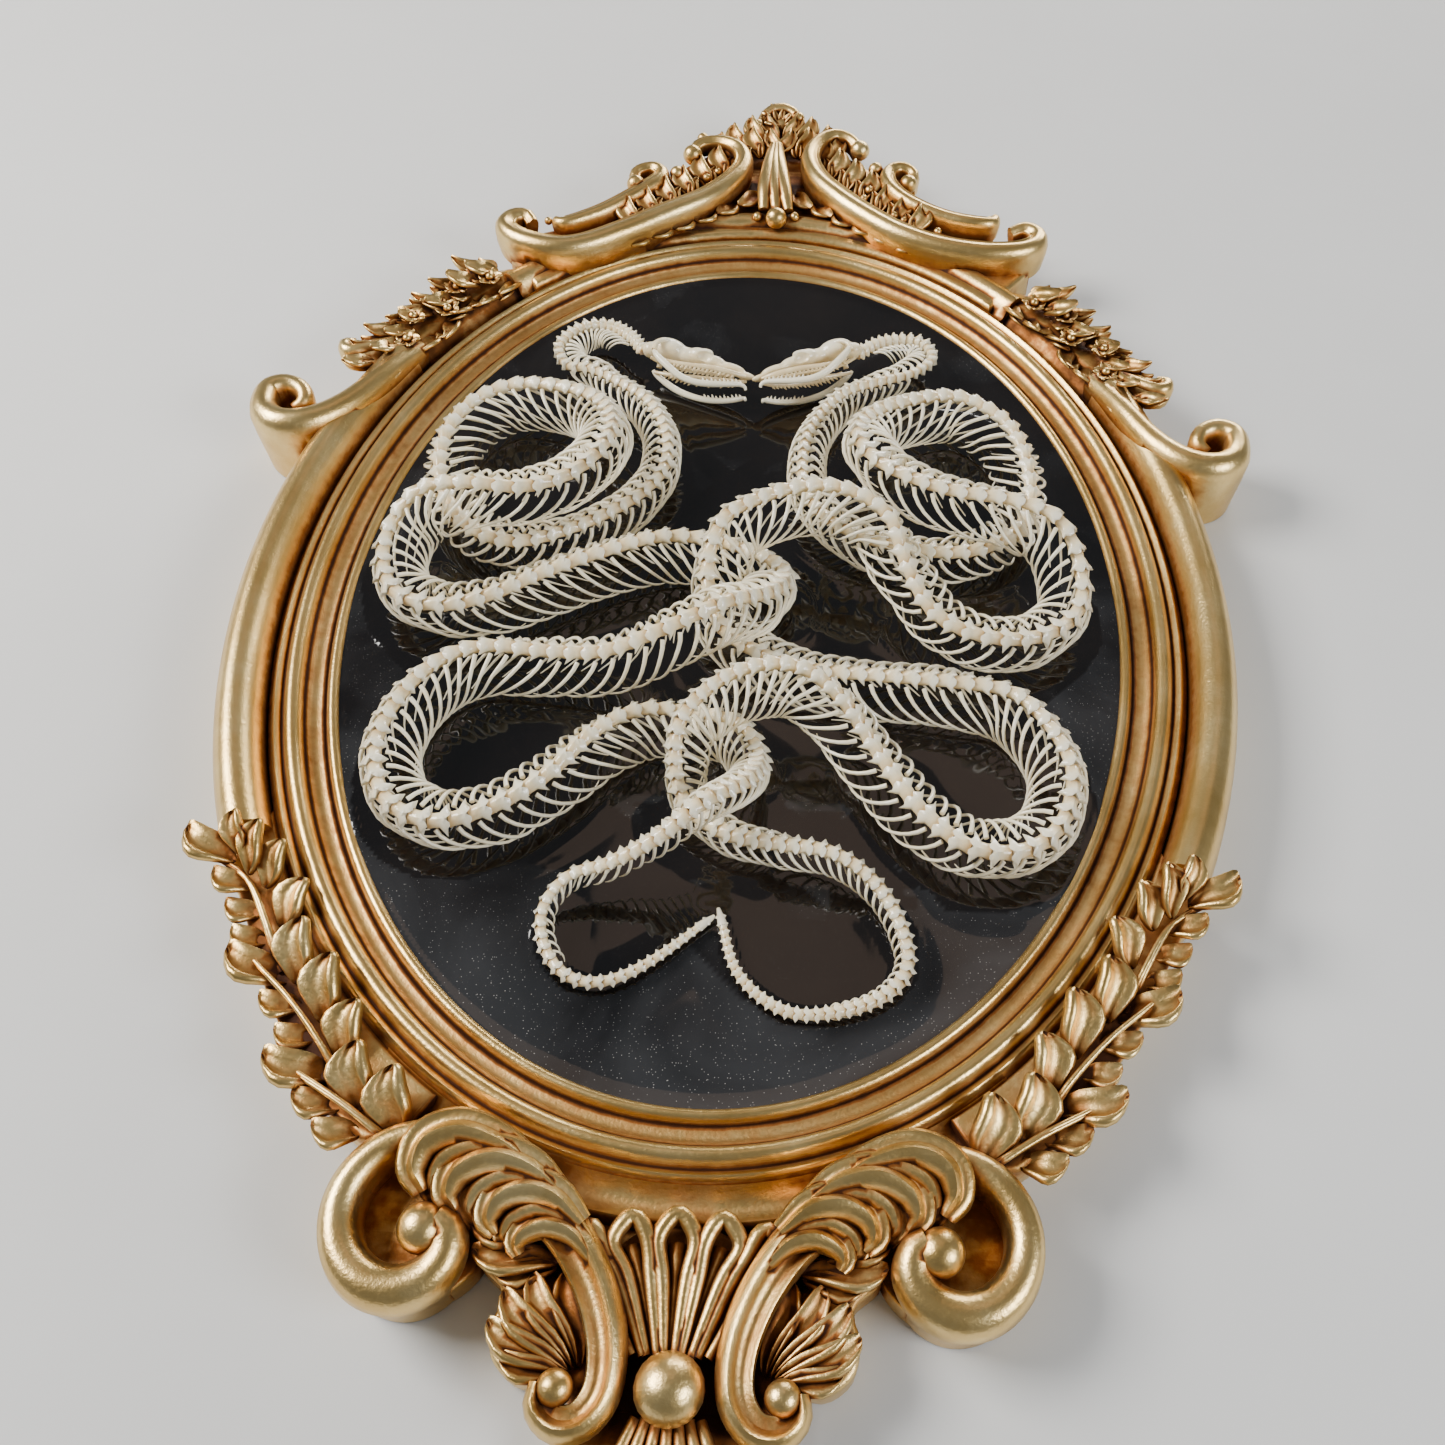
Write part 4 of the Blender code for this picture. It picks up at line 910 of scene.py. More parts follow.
def slab(outline, bottom, top, rounding):
    """A ground plate of this outline with rounded edges, in millimetres."""
    curve = drawn("slab", [[(x * MM, y * MM, 0, 1) for x, y in outline]], flat=True, fill_mode="BOTH",
                  bevel_depth=rounding * MM, bevel_resolution=3, offset=-rounding * MM,
                  extrude=((top - bottom) / 2 - rounding) * MM)
    plate = as_mesh("slab", curve, angle=40)
    plate.location.z = (top + bottom) / 2 * MM
    settle(plate)
    return plate


# Across a leaf, how far its upper side is pressed in or drawn up.
PRESS = [
    (0.92, 0.03), (0.71, 0.08), (0.38, -0.06), (0.0, -0.11), (-0.38, -0.10), (-0.71, 0.03), (-0.92, 0.02),
]


def carved_leaf(side, foot_width, tip_width, bend, arch, depth):
    """A hollow leaf with a thick rim, from its foot at 0 to its tip at 1 along X, curled to one side."""
    rings = 10
    bpy.ops.mesh.primitive_uv_sphere_add(segments=16, ring_count=rings, radius=0.5,
                                         rotation=(0, math.pi / 2, 0), location=(0.5, 0, 0))
    leaf = bpy.context.object
    settle(leaf)
    edit(leaf)
    bpy.ops.mesh.select_all(action="SELECT")
    spread(z=0.26)
    for place, lift in PRESS:
        pick(lambda v: v.z > 0.004 and abs(side * v.y - place * math.sqrt(max(0.0, v.x - v.x * v.x))) < 0.03)
        shift(z=lift * depth)
    pick(lambda v: v.z < -0.004)
    spread(z=0.3)
    for k in range(rings + 1):
        x = 0.5 - 0.5 * math.cos(math.pi * k / rings)
        pick(lambda v: abs(v.x - x) < 0.008)
        spread(y=foot_width + (tip_width - foot_width) * x, about=(x, 0, 0))
        curl = x * x - 0.4 * x + 0.18 * math.sin(2 * math.pi * x)
        shift(y=side * bend * curl, z=arch * math.sin(1.9 * x))
    leave()
    bpy.ops.object.shade_smooth()
    return leaf


def laid(master, foot, tip, width, thick, rise, roll=0.0, side=1):
    """A copy of a leaf from its foot (x, y, z) towards its tip (x, y), in millimetres, or mirrored."""
    foot = (side * foot[0], *foot[1:])
    ahead = Vector((side * tip[0] - foot[0], tip[1] - foot[1], 0))
    size = Matrix.Diagonal((ahead.length * MM, width * MM, thick * ahead.length * MM, 1))
    turned = Matrix.Rotation(math.atan2(ahead.y, ahead.x), 4, "Z")
    turned = turned @ Matrix.Rotation(-math.radians(rise), 4, "Y")
    turned = turned @ Matrix.Rotation(side * math.radians(roll), 4, "X")
    place = Matrix.Translation(Vector(foot) * MM)
    return copied(master, "leaf", place @ turned @ size)


def mirrored(points, side):
    """The points for the right (side 1) or left (side -1), kept in the same sense of turning."""
    if side > 0:
        return list(points)
    return [(-point[0], *point[1:]) for point in points][::-1]


# The ornaments ----------------------------------------------------------------------------

ARM_SIZE = 0.86  # the crown's arms, as a share of the sizes given here
CROWN_ARM = {
    1: [
        (22.5, 150.4, 15.5, 1.6), (20.0, 154.0, 16.5, 1.5), (15.9, 155.3, 17, 1.6),
        (11.7, 151.7, 17.2, 1.9), (9.5, 144.2, 17.3, 2.4), (11.7, 135.4, 17.3, 2.9),
        (17.2, 128.0, 17.2, 3.2), (24.5, 121.0, 17, 3.3), (32.3, 114.9, 17, 3.3), (41.4, 110.7, 17, 3.2),
        (51.5, 108.6, 17, 3.3), (60.6, 109.4, 17, 3.2), (65.6, 112.2, 17, 2.9), (66.6, 116.4, 17, 2.3),
        (63.6, 118.9, 17, 1.9), (60.0, 117.6, 16.5, 1.6),
    ],
    -1: [
        (-57.4, 112.5, 16.5, 1.5), (-59.2, 114.8, 17, 1.8), (-62.4, 114.0, 17, 2.2),
        (-63.6, 109.8, 17, 2.7), (-59.4, 105.4, 17, 3.1), (-51.3, 103.0, 17, 3.3), (-44.1, 104.5, 17, 3.2),
        (-34.7, 110.5, 17, 3.3), (-25.3, 117.9, 17, 3.3), (-15.6, 125.4, 17.2, 3.1),
        (-9.4, 133.7, 17.3, 2.8), (-7.3, 141.0, 17.3, 2.4), (-9.3, 147.2, 17.2, 1.9),
        (-14.3, 150.0, 17, 1.6), (-19.5, 149.0, 16.5, 1.5), (-21.4, 145.0, 15.5, 1.5),
    ],
}
CROWN_SPRAY = {
    1: [
        (35.0, 138.0, 14, 1.6), (36.4, 141.6, 15.4, 1.3), (33.5, 143.6, 16, 1.4), (30.3, 142.0, 16, 1.6),
        (29.6, 137.2, 16, 1.9), (32.4, 131.8, 16, 2.0), (37.7, 127.6, 15.6, 2.0), (44.4, 124.6, 15.2, 1.9),
        (51.1, 122.9, 15.2, 1.9), (55.6, 123.3, 15, 1.7), (56.6, 125.6, 14.6, 1.4),
    ],
    -1: [
        (-52.2, 116.4, 14.6, 1.4), (-50.4, 115.2, 15, 1.7), (-45.9, 117.4, 15.2, 1.8),
        (-40.2, 121.2, 15.4, 2.0), (-34.6, 126.4, 15.8, 2.0), (-29.6, 131.8, 16, 2.0),
        (-28.0, 136.0, 16, 1.7), (-30.6, 138.6, 16, 1.4), (-34.6, 137.0, 15.6, 1.3),
        (-34.8, 133.6, 14.4, 1.5),
    ],
}
CROWN_BEADS = [
    (22.3, 149.6, 16.4, 2.5), (34.9, 137.2, 15.6, 2.3), (26.5, 142.6, 15.6, 1.9), (25.0, 134.6, 15, 1.2),
    (23.6, 131.0, 15, 1.0), (31.4, 124.6, 15, 1.0), (33.8, 122.8, 15, 0.9), (42.2, 119.2, 14.8, 1.0),
    (-20.8, 144.2, 16.4, 2.5), (-34.2, 131.6, 15.6, 2.3), (-24.2, 137.0, 15.6, 1.9),
    (-18.9, 153.1, 15.4, 1.5), (-46.9, 118.8, 14.8, 1.0), (-43.1, 121.6, 14.8, 1.0),
    (-54.4, 116.6, 14.4, 1.0), (-16.6, 136.6, 15, 1.1), (-14.0, 139.4, 15, 1.0), (1.9, 120.6, 15.5, 2.6),
    (6.4, 122.8, 14.5, 1.2), (-2.8, 122.2, 14.5, 1.2), (20.6, 125.0, 14.6, 1.0), (5.8, 164.4, 15.4, 1.6),
    (-4.8, 161.0, 15.2, 1.4), (1.0, 163.8, 12.0, 3.1),
]
CREST_TOP = (1.2, 163.0)
# Round the crest's top: the direction and length of each petal.
CREST_PETALS = [(20, 5.6), (62, 6.0), (104, 6.2), (146, 6.0), (188, 5.4)]
CREST_BAND = [
    (-2.2, 158, 12, 1.1), (-4.0, 162.6, 14.2, 1.4), (-2.2, 166.6, 15.6, 1.4), (1.4, 167.8, 16.0, 1.4),
    (4.8, 166.0, 15.4, 1.4), (5.4, 162.0, 14.0, 1.4), (3.6, 158, 12, 1.1),
]
# The tip and the width of the leaves that rise to the crest.
CREST_LEAVES = [
    (14.5, 158.8, 5.2), (10.0, 162.4, 5.2), (6.2, 164.6, 4.6), (17.5, 154.6, 5.0), (4.6, 157.0, 4.6),
]

# The two leaves at each place between an arm and the crest: the tip, the width, the rise and the roll.
CREST_PAIR = [("curled", 0.6, 1.4, 5.6, 14, 12), ("pointed", -4.6, 0.4, 3.8, 16, -14)]


def leaned(side, x, y):
    """A place in the crown, which leans a little to the right."""
    return side * x + 1.4, y + 0.035 * side * x


def crown(leaves):
    """The crown: its ground plate, two arms, two sprays, the fluted drop and the crest."""
    half = [
        (61, 103), (64, 108), (61.5, 114.5), (54, 118.5), (44, 120.5), (36.5, 128), (31, 139), (21, 149.5),
        (12, 157.5), (5, 163.5),
    ]
    half = dense(half, 2.0)
    edge = [leaned(1, x, y) for x, y in half] + [leaned(-1, x, y) for x, y in half[::-1]]
    inner = [rim_point(a, SEAT) for a in np.linspace(126, 54, 40)]
    pieces = [slab(edge + inner, BACK, 12.6, 1.6)]
    cove = [
        (12.7, 0.3), (12.7, 11.0), (13.4, 10.2), (14.2, 10.6), (15.2, 12.2), (16.4, 13.6), (17.9, 14.3),
        (19.4, 14.0), (20.4, 13.0), (21.0, 11.4), (21.4, 0.3),
    ]
    pieces.append(arc_moulding("fillet", cove, 52, 128, 70))
    for side in (1, -1):
        pieces.append(bar([(x, y, z, ARM_SIZE * size) for x, y, z, size in CROWN_ARM[side]], SCROLL, 1.3))
        pieces.append(bar(CROWN_SPRAY[side], SCROLL, 1.1))
    pieces += [bead(*spot) for spot in CROWN_BEADS]
    for x in (-1.9, 0.0, 1.9):  # the drop's flutes
        pieces.append(bar([(0.5 + 0.35 * x, 150, 16.5, 1.0), (0.6 + 0.7 * x, 140, 18, 1.7),
                           (1.0 + 1.25 * x, 130, 17.5, 1.9), (1.7 + 1.6 * x, 123.5, 15.5, 1.3)], None, 1.2))
    for direction, reach in CREST_PETALS:
        turn = math.radians(direction)
        x, y = CREST_TOP
        tip = (x + reach * math.cos(turn), y + 1.1 * reach * math.sin(turn))
        pieces.append(laid(leaves[1]["spoon"], (x, y, 13.6), tip, 4.4, 0.9, 20))
    pieces.append(bar(CREST_BAND, None, 1.2))
    for tip_x, tip_y, wide in CREST_LEAVES:
        for side in (1, -1):
            x, y = leaned(side, tip_x, tip_y)
            kind = leaves[side]["curled"]
            pieces.append(laid(kind, (x - side * 5.5, y - 7.5, 12.6), (x, y), wide, 0.95, 12, 10 * side))
    for side in (1, -1):
        for k in range(8):  # curled leaves between the arm and the crest
            x, y = leaned(side, 9 + 4.2 * k, 155.5 - 4.5 * k)
            root = (x - side * 4.2, y - 6.2, 13.0)
            for kind, out, up, wide, rise, roll in CREST_PAIR:
                tip = (x + side * out, y + up)
                pieces.append(laid(leaves[side][kind], root, tip, wide, 0.9, rise, side * roll))
        for k in range(6):  # leaves under the arm, towards the drop
            x, y = leaned(side, 5.6 + 5.2 * k, 128.5 - 3.4 * k)
            tip = (x + side * 1.8, y - 3.2)
            pieces.append(laid(leaves[side]["spoon"], (x - side * 1.0, y + 5.4, 12.8), tip, 5.4, 0.9, 6))
    return joined("crown", pieces)


SWAG_LEAVES = 40
FLOWERS = [(49.5, 19.0), (45.6, 22.0), (42.0, 18.0), (38.6, 22.5), (35.2, 18.5)]  # angle and distance out


def swag(side, leaves):
    """Leaves and small flowers heaped along the shoulder, outside a wide dark cove."""
    cove = [
        (12.7, 0.3), (12.7, 9.2), (13.6, 8.8), (14.8, 9.2), (16.2, 10.6), (17.4, 12.2), (18.6, 13.0),
        (22.0, 13.0), (24.6, 11.6), (25.6, 9.0), (25.8, 0.3),
    ]
    start, end = (27.5, 56.5) if side > 0 else (123.5, 152.5)
    pieces = [arc_moulding("shoulder", cove, start, end, 34, 0.22)]
    for k in range(SWAG_LEAVES):
        angle = 30.2 + 22.6 * k / (SWAG_LEAVES - 1)
        row = k % 3
        out = (17.0, 20.6, 24.2)[row] + 0.8 * math.sin(k * 2.4)
        x, y = rim_point(angle, out)
        lie = math.radians(angle - 90 + (-34, 8, 38)[row] + 16 * math.sin(k * 1.7))
        size = 6.8 + 1.5 * math.sin(k * 3.1)
        tip = (x + size * math.cos(lie), y + size * math.sin(lie))
        level = (11.6, 13.6, 11.8)[row] + 0.4 * math.sin(k * 1.3)
        kind = leaves[("pointed", "curled", "pointed")[row]]
        pieces.append(laid(kind, (x, y, level), tip, 5.0 + 0.7 * math.sin(k * 4.3), 0.95,
                           13 + 8 * math.sin(k * 2.9), (-16, 0, 18)[row], side))
    for number, (angle, out) in enumerate(FLOWERS):
        x, y = rim_point(angle, out)
        for k in range(5):
            turn = 2 * math.pi * k / 5 + number
            tip = (x + 3.1 * math.cos(turn), y + 3.1 * math.sin(turn))
            pieces.append(laid(leaves["spoon"], (x, y, 14.8), tip, 2.9, 0.8, 16, side=side))
        pieces.append(bead(side * x, y, 15.8, 1.0))
    curl = [
        (83.0, 73.5, 11, 1.6), (86.4, 70.0, 12.6, 1.8), (90.0, 67.0, 13.6, 1.8), (92.9, 66.2, 14.0, 1.7),
        (94.0, 68.4, 13.8, 1.4), (92.0, 69.6, 13.2, 1.1),
    ]
    pieces.append(bar(mirrored(curl, side), SCROLL, 0.9))
    return joined(sided("swag", side), pieces)


def side_volute(side):
    """The scroll that leaves the shoulder beside the torus and curls up."""
    path = [
        (77.2, 69.4, 12.6, 2.0), (80.6, 63.0, 13.8, 2.3), (83.6, 56.8, 14.6, 2.5), (86.4, 51.5, 14.8, 2.7),
        (89.6, 46.6, 15, 2.9), (93.6, 42.6, 15.2, 3.1), (98.2, 40.4, 15.3, 3.3), (102.4, 40.8, 15.3, 3.3),
        (105.8, 43.6, 15.2, 3.0), (107.0, 47.6, 15.2, 2.6), (106.6, 51.4, 15.2, 2.3),
        (103.2, 53.2, 15.0, 2.1), (99.8, 51.8, 14.6, 1.9), (98.8, 48.8, 14, 1.7), (100.6, 46.9, 13.2, 1.5),
    ]
    wall = [
        (0.8, -4.6), (1.05, -1.6), (1.1, -0.2), (0.92, 0.45), (0.45, 0.9), (0.0, 1.0), (-0.5, 0.88),
        (-0.9, 0.4), (-1.05, -0.2), (-0.95, -1.6), (-0.8, -4.6),
    ]
    scroll = bar(mirrored(path, side), wall, 1.0)
    edit(scroll)
    pick(lambda v: v.z < 7.6 * MM)  # its walls stand on the floor
    spread(z=0.0, about=(0, 0, 0.3 * MM))
    leave()
    return joined(sided("side_volute", side), [scroll])


# The foot, the tip and the width of each leaf, in the row beside the oval and in the outer row.
INNER_LEAVES = [
    ((82.0, -65.5), (85.9, -58.2), 4.2), ((79.9, -68.9), (80.9, -59.1), 4.6),
    ((76.7, -70.9), (76.6, -62.1), 5.4), ((72.8, -77.6), (71.6, -68.4), 6.0),
    ((67.6, -87.6), (70.6, -76.9), 6.6), ((61.8, -94.3), (64.2, -83.0), 6.8),
    ((57.6, -100.6), (58.3, -90.6), 6.6), ((52.7, -108.8), (57.0, -98.6), 7.0),
    ((45.8, -112.8), (50.4, -102.4), 7.2),
]
OUTER_LEAVES = [
    ((83.3, -66.2), (93.4, -63.4), 6.2), ((79.5, -70.6), (87.0, -70.3), 4.8),
    ((77.3, -74.8), (83.8, -75.3), 4.8), ((75.0, -80.0), (81.6, -80.2), 4.8),
    ((69.8, -87.0), (81.4, -84.8), 6.4), ((66.4, -91.4), (73.6, -92.2), 5.0),
    ((62.9, -96.8), (69.6, -97.8), 5.0), ((58.3, -103.4), (70.4, -103.2), 6.4),
    ((56.0, -108.0), (64.2, -108.6), 5.2), ((52.2, -112.0), (59.6, -113.6), 5.4),
]
STEMS = [
    [(87.1, -65.2), (80.1, -69.8), (75.1, -77.6), (71.5, -85)],
    [(74.8, -85.1), (67.0, -91.9), (60.4, -99.2), (57, -104)],
    [(62.9, -104.0), (55.7, -108.0), (49.3, -112.0), (44, -115)],
]


def laurel(side, leaves):
    """A laurel branch along the lower part of the oval: a ground plate, two rows of leaves and the stems."""
    inner = [rim_point(a, SEAT) for a in np.linspace(-27.5, -64, 30)]
    outer = [
        (46.5, -113.5), (52, -113), (58, -109), (63, -103.5), (68, -97), (72, -90.5), (76, -84),
        (79, -77.5), (82.5, -71), (86, -66), (84.5, -61.5),
    ]
    pieces = [slab(mirrored(inner + outer, side), BACK, 10.4, 1.0)]
    for row, level, rise, roll in ((OUTER_LEAVES, 9.6, 12, -12), (INNER_LEAVES, 10.6, 17, 14)):
        for k, ((x, y), tip, width) in enumerate(row[::-1]):
            lifted = 0.02 * k + 3.2 * eased(y, -76, -66)
            foot = (x, y, level + lifted)
            pieces.append(laid(leaves["spoon"], foot, tip, 1.16 * width, 0.95, rise, roll, side))
    for stem in STEMS:
        for offset in (-0.45, 0.45):
            line = [(x + offset, y + offset, z, 0.40 + 0.07 * k)
                    for k, ((x, y), z) in enumerate(zip(stem, (13.0, 13.4, 12.8, 10.6)))]
            pieces.append(bar(mirrored(line, side), None, 1.5, 2))
    return joined(sided("laurel", side), pieces)


ARM = [
    (44.5, -113.2, 10.4, 2.2), (40.4, -112.8, 11.6, 3.0), (35.6, -113.0, 12.4, 3.7),
    (30.4, -115.2, 12.8, 3.7), (25.6, -118.4, 13, 3.5), (20.8, -122.4, 13, 3.3), (16.0, -127.4, 12.8, 3.0),
    (12.3, -133.2, 12.4, 2.8), (10.0, -139.0, 12, 2.6), (9.2, -144.2, 11.6, 2.4), (9.8, -148.6, 11.4, 2.3),
    (12.4, -151.8, 11.2, 2.2), (15.9, -152.2, 11.2, 2.1), (18.4, -150.0, 11.2, 1.9),
    (18.2, -147.2, 11.2, 1.7),
]
RIM = [
    (28.0, -116.2, 12.6, 1.9), (33.0, -113.6, 13.0, 2.0), (38.4, -112.4, 13.2, 2.1),
    (43.6, -113.0, 13.1, 2.3), (48.2, -115.6, 12.8, 2.5), (51.4, -120.0, 12.4, 2.7),
    (52.3, -125.2, 12.0, 2.9), (50.6, -130.6, 11.6, 3.2), (46.6, -134.4, 11.3, 3.5),
    (41.6, -135.4, 11.2, 3.6), (37.2, -133.6, 11.5, 3.4), (34.9, -130.0, 12.1, 3.2),
    (35.4, -126.8, 12.8, 3.0), (37.2, -125.6, 13.2, 2.8),
]
# The acanthus fingers that sweep over the big scroll.
LOBES = [
    [
        (22.5, -117.6, 15.4, 1.4), (28.0, -114.4, 16.8, 2.2), (34.6, -112.6, 17.2, 2.7),
        (40.0, -114.4, 16.6, 2.7), (41.6, -118.6, 15.2, 2.2), (39.8, -121.6, 13.8, 1.4),
    ],
    [
        (18.5, -120.8, 15.2, 1.4), (23.4, -117.6, 16.6, 2.3), (29.4, -116.4, 17.0, 2.8),
        (34.4, -118.4, 16.0, 2.6), (36.0, -121.8, 14.6, 2.0), (34.6, -124.0, 13.2, 1.3),
    ],
    [
        (14.8, -125.2, 14.8, 1.3), (18.8, -121.8, 16.0, 2.2), (23.8, -120.6, 16.2, 2.6),
        (28.0, -122.2, 15.2, 2.3), (29.4, -125.2, 13.8, 1.8), (28.0, -127.0, 12.6, 1.1),
    ],
    [
        (12.6, -130.0, 13.8, 1.1), (16.0, -126.6, 14.8, 1.8), (20.0, -125.4, 14.8, 2.1),
        (23.6, -126.6, 13.8, 1.8), (24.8, -128.4, 12.8, 1.5), (24.2, -129.8, 12.2, 0.9),
    ],
]
# The foot, tip, height and width of the leaf lobes inside the lower arm.
FRILL = [
    ((18.5, -130.6), (27.6, -133.2), 9.4, 5.0), ((18.2, -130.0), (31.4, -130.8), 9.9, 5.4),
    ((19.4, -127.6), (32.4, -126.6), 10.3, 5.4), ((21.0, -124.8), (30.6, -122.2), 10.6, 5.0),
    ((13.4, -144.2), (18.4, -131.6), 8.6, 4.8), ((14.0, -144.4), (23.4, -133.0), 8.9, 5.4),
    ((14.6, -144.8), (27.0, -136.0), 9.2, 5.6), ((15.0, -145.2), (28.2, -140.6), 9.4, 5.6),
    ((15.6, -145.6), (25.2, -145.0), 9.5, 4.8),
]


def between(first, second):
    """A lobe halfway between two others, a little lower and thinner."""
    return [(0.5 * (a[0] + b[0]), 0.5 * (a[1] + b[1]), 0.5 * (a[2] + b[2]) - 0.9, 0.44 * (a[3] + b[3]))
            for a, b in zip(first, second)]


def foot_scroll(side, leaves):
    """The big scroll, its arm, the small scroll at its end, and the leaves on both."""
    pieces = [bar(mirrored(ARM, side), CREST, 1.1), bar(mirrored(RIM, side), ROLL, 0.9)]
    pieces.append(bead(side * 38.9, -126.8, 13.2, 3.9, 0.9))
    pieces.append(bead(side * 16.3, -147.6, 11.6, 2.7, 0.9))
    for lobe in LOBES + [between(first, second) for first, second in zip(LOBES, LOBES[1:])]:
        pieces.append(bar(mirrored(lobe, side), FINGER, 0.9))
    for foot, tip, height, width in FRILL:
        pieces.append(laid(leaves["spoon"], (*foot, height), tip, width, 0.62, 3, -8, side))
    return joined(sided("foot_scroll", side), pieces)


# The fan's flutes: where each has its top and its foot, and how wide it is.
FLUTES = [(-14.2, -5.1, 6.6), (-7.6, -3.0, 6.6), (-0.7, -0.5, 6.8), (6.2, 1.9, 6.6), (12.8, 4.4, 6.6)]


def foot_ground():
    """The plate below the scrolls, the fan, the boss, and the leaf that closes the foot."""
    inner = [rim_point(a, SEAT) for a in np.linspace(-62.0, -118.0, 40)]
    right = [(46, -110)]
    for angle in range(60, -166, -9):  # round the big scroll
        turn = math.radians(angle)
        right.append((41.2 + 11.4 * math.cos(turn), -125.2 + 10.8 * math.sin(turn)))
    right += [(24, -127), (15.4, -131), (12, -151)]
    left = [(-x, y) for x, y in right]
    pieces = [slab(inner + left + right[::-1], BACK, 6.4, 0.6)]
    cove = [
        (12.7, 0.3), (12.7, 10.6), (13.3, 9.8), (14.2, 9.0), (15.4, 8.5), (16.6, 8.6), (17.6, 9.2),
        (18.2, 9.6), (18.8, 9.2), (19.2, 8.0), (19.4, 0.3),
    ]
    pieces.append(arc_moulding("cove", cove, -123, -57, 60))
    for side in (1, -1):
        frill = [
            (17, -133), (15, -139), (17, -144), (22, -146.4), (26.6, -143.6), (27.6, -138.6), (26.6, -134),
            (31.0, -129.4), (27, -124.6),
        ]
        pieces.append(slab(mirrored(dense(frill, 1.5), side), BACK, 7.6, 1.0))
        pieces.append(bead(side * 13.2, -144.9, 4.4, 4.1))
    shell = []
    for k in range(21):
        turn = math.radians(147 - 5.7 * k)
        shell.append((0.78 * 21.5 * math.cos(turn), -146 + 23.4 * math.sin(turn)))
    pieces.append(slab(shell + [(5, -140), (-5, -140)], 6.0, 9.0, 0.6))
    for tops, feet, wide in FLUTES:
        top = -122.4 - 0.012 * tops ** 2
        near, far = tops - wide / 2 + 0.5, tops + wide / 2 - 0.5
        left, right = 0.62 * near + 0.38 * feet, 0.62 * far + 0.38 * feet
        arch = [(feet - 0.8, -142.5, 10.2, 0.75), (left, -132, 10.8, 1.15), (near, top - 4.2, 11.4, 1.3),
                (0.5 * (near + tops), top - 1.1, 11.9, 1.35), (tops, top, 12.0, 1.35),
                (0.5 * (far + tops), top - 1.1, 11.9, 1.35), (far, top - 4.2, 11.4, 1.3),
                (right, -132, 10.8, 1.15), (feet + 0.8, -142.5, 10.2, 0.75)]
        pieces.append(bar(arch, None, 1.0, 2))
        pieces.append(bar([(tops, top - 4, 9.0, 1.5), (0.6 * tops + 0.4 * feet, -132, 9.4, 1.1),
                           (feet, -141.5, 9.6, 0.6)], None, 1.4, 2))
    pieces.append(bead(0, -147, 11.2, 5.2, 0.9))
    outline = [
        (-12.5, -149), (-16.6, -154), (-15, -161), (-11.4, -165), (-12, -170.5), (-8.2, -174.5),
        (-8, -179.5), (-3.4, -185), (-0.4, -189.1),
    ]
    outline = [(x, y) for x, y in dense(outline, 1.4)]
    pieces.append(slab(outline + mirrored(outline, -1), BACK, 6.6, 0.9))
    for x in (-7.5, -5.0, -2.5, 0.0, 2.5, 5.0, 7.5):
        vein = [(0.62 * x, -150.5, 8.2, 0.9), (x, -158, 8.2, 1.1), (1.1 * x, -167, 7.6, 1.0),
                (0.75 * x, -176, 7.0, 0.8), (0.3 * x, -184 + 0.4 * abs(x), 6.4, 0.5)]
        pieces.append(bar(vein, None, 1.5, 2))
    return joined("foot", pieces)


def leaf_masters(side):
    """The leaves that the ornaments copy, curled to this side."""
    return {
        "spoon": carved_leaf(side, 0.66, 1.20, 0.50, 0.13, 1.25),
        "curled": carved_leaf(side, 0.76, 1.10, 0.60, 0.17, 1.1),
        "pointed": carved_leaf(side, 1.18, 0.42, 0.40, 0.13, 0.9),
    }


# Wax and painted shade in the hollows -----------------------------------------------------

HOLLOW_REACH = 8 * MM  # how far round a point its neighbours count
HOLLOW_RAYS = 14
GOLDEN_TURN = 2.399963
# Outwards over the mouldings, how much wax lies in them, with painted shade where the grooves are deepest.
MOULDING_WAX_AND_SHADE = [
    (0.0, 0.5), (0.3, 0.0), (2.2, 0.0), (2.6, 0.8), (2.9, 0.8), (3.3, 0.34), (4.6, 0.22), (5.9, 0.34),
    (6.4, 0.9), (6.7, 0.1), (7.2, 0.0), (9.4, 0.0), (10.0, 0.5), (10.4, 0.9), (10.8, 0.2), (11.1, 0.0),
    (11.9, 0.0), (12.3, 0.4), (13.1, 0.7), (13.9, 0.4), (14.6, 0.0), (22.8, 0.0),
]


def distance_out(x, y):
    """How far a point lies outside the opening's edge, in millimetres."""
    out = 0.0
    for _ in range(5):
        a, b = HALF_WIDTH + out, HALF_LENGTH + out
        out += ((x / a) ** 2 + (y / b) ** 2 - 1) / (2 * (x * x / a ** 3 + y * y / b ** 3))
    return out


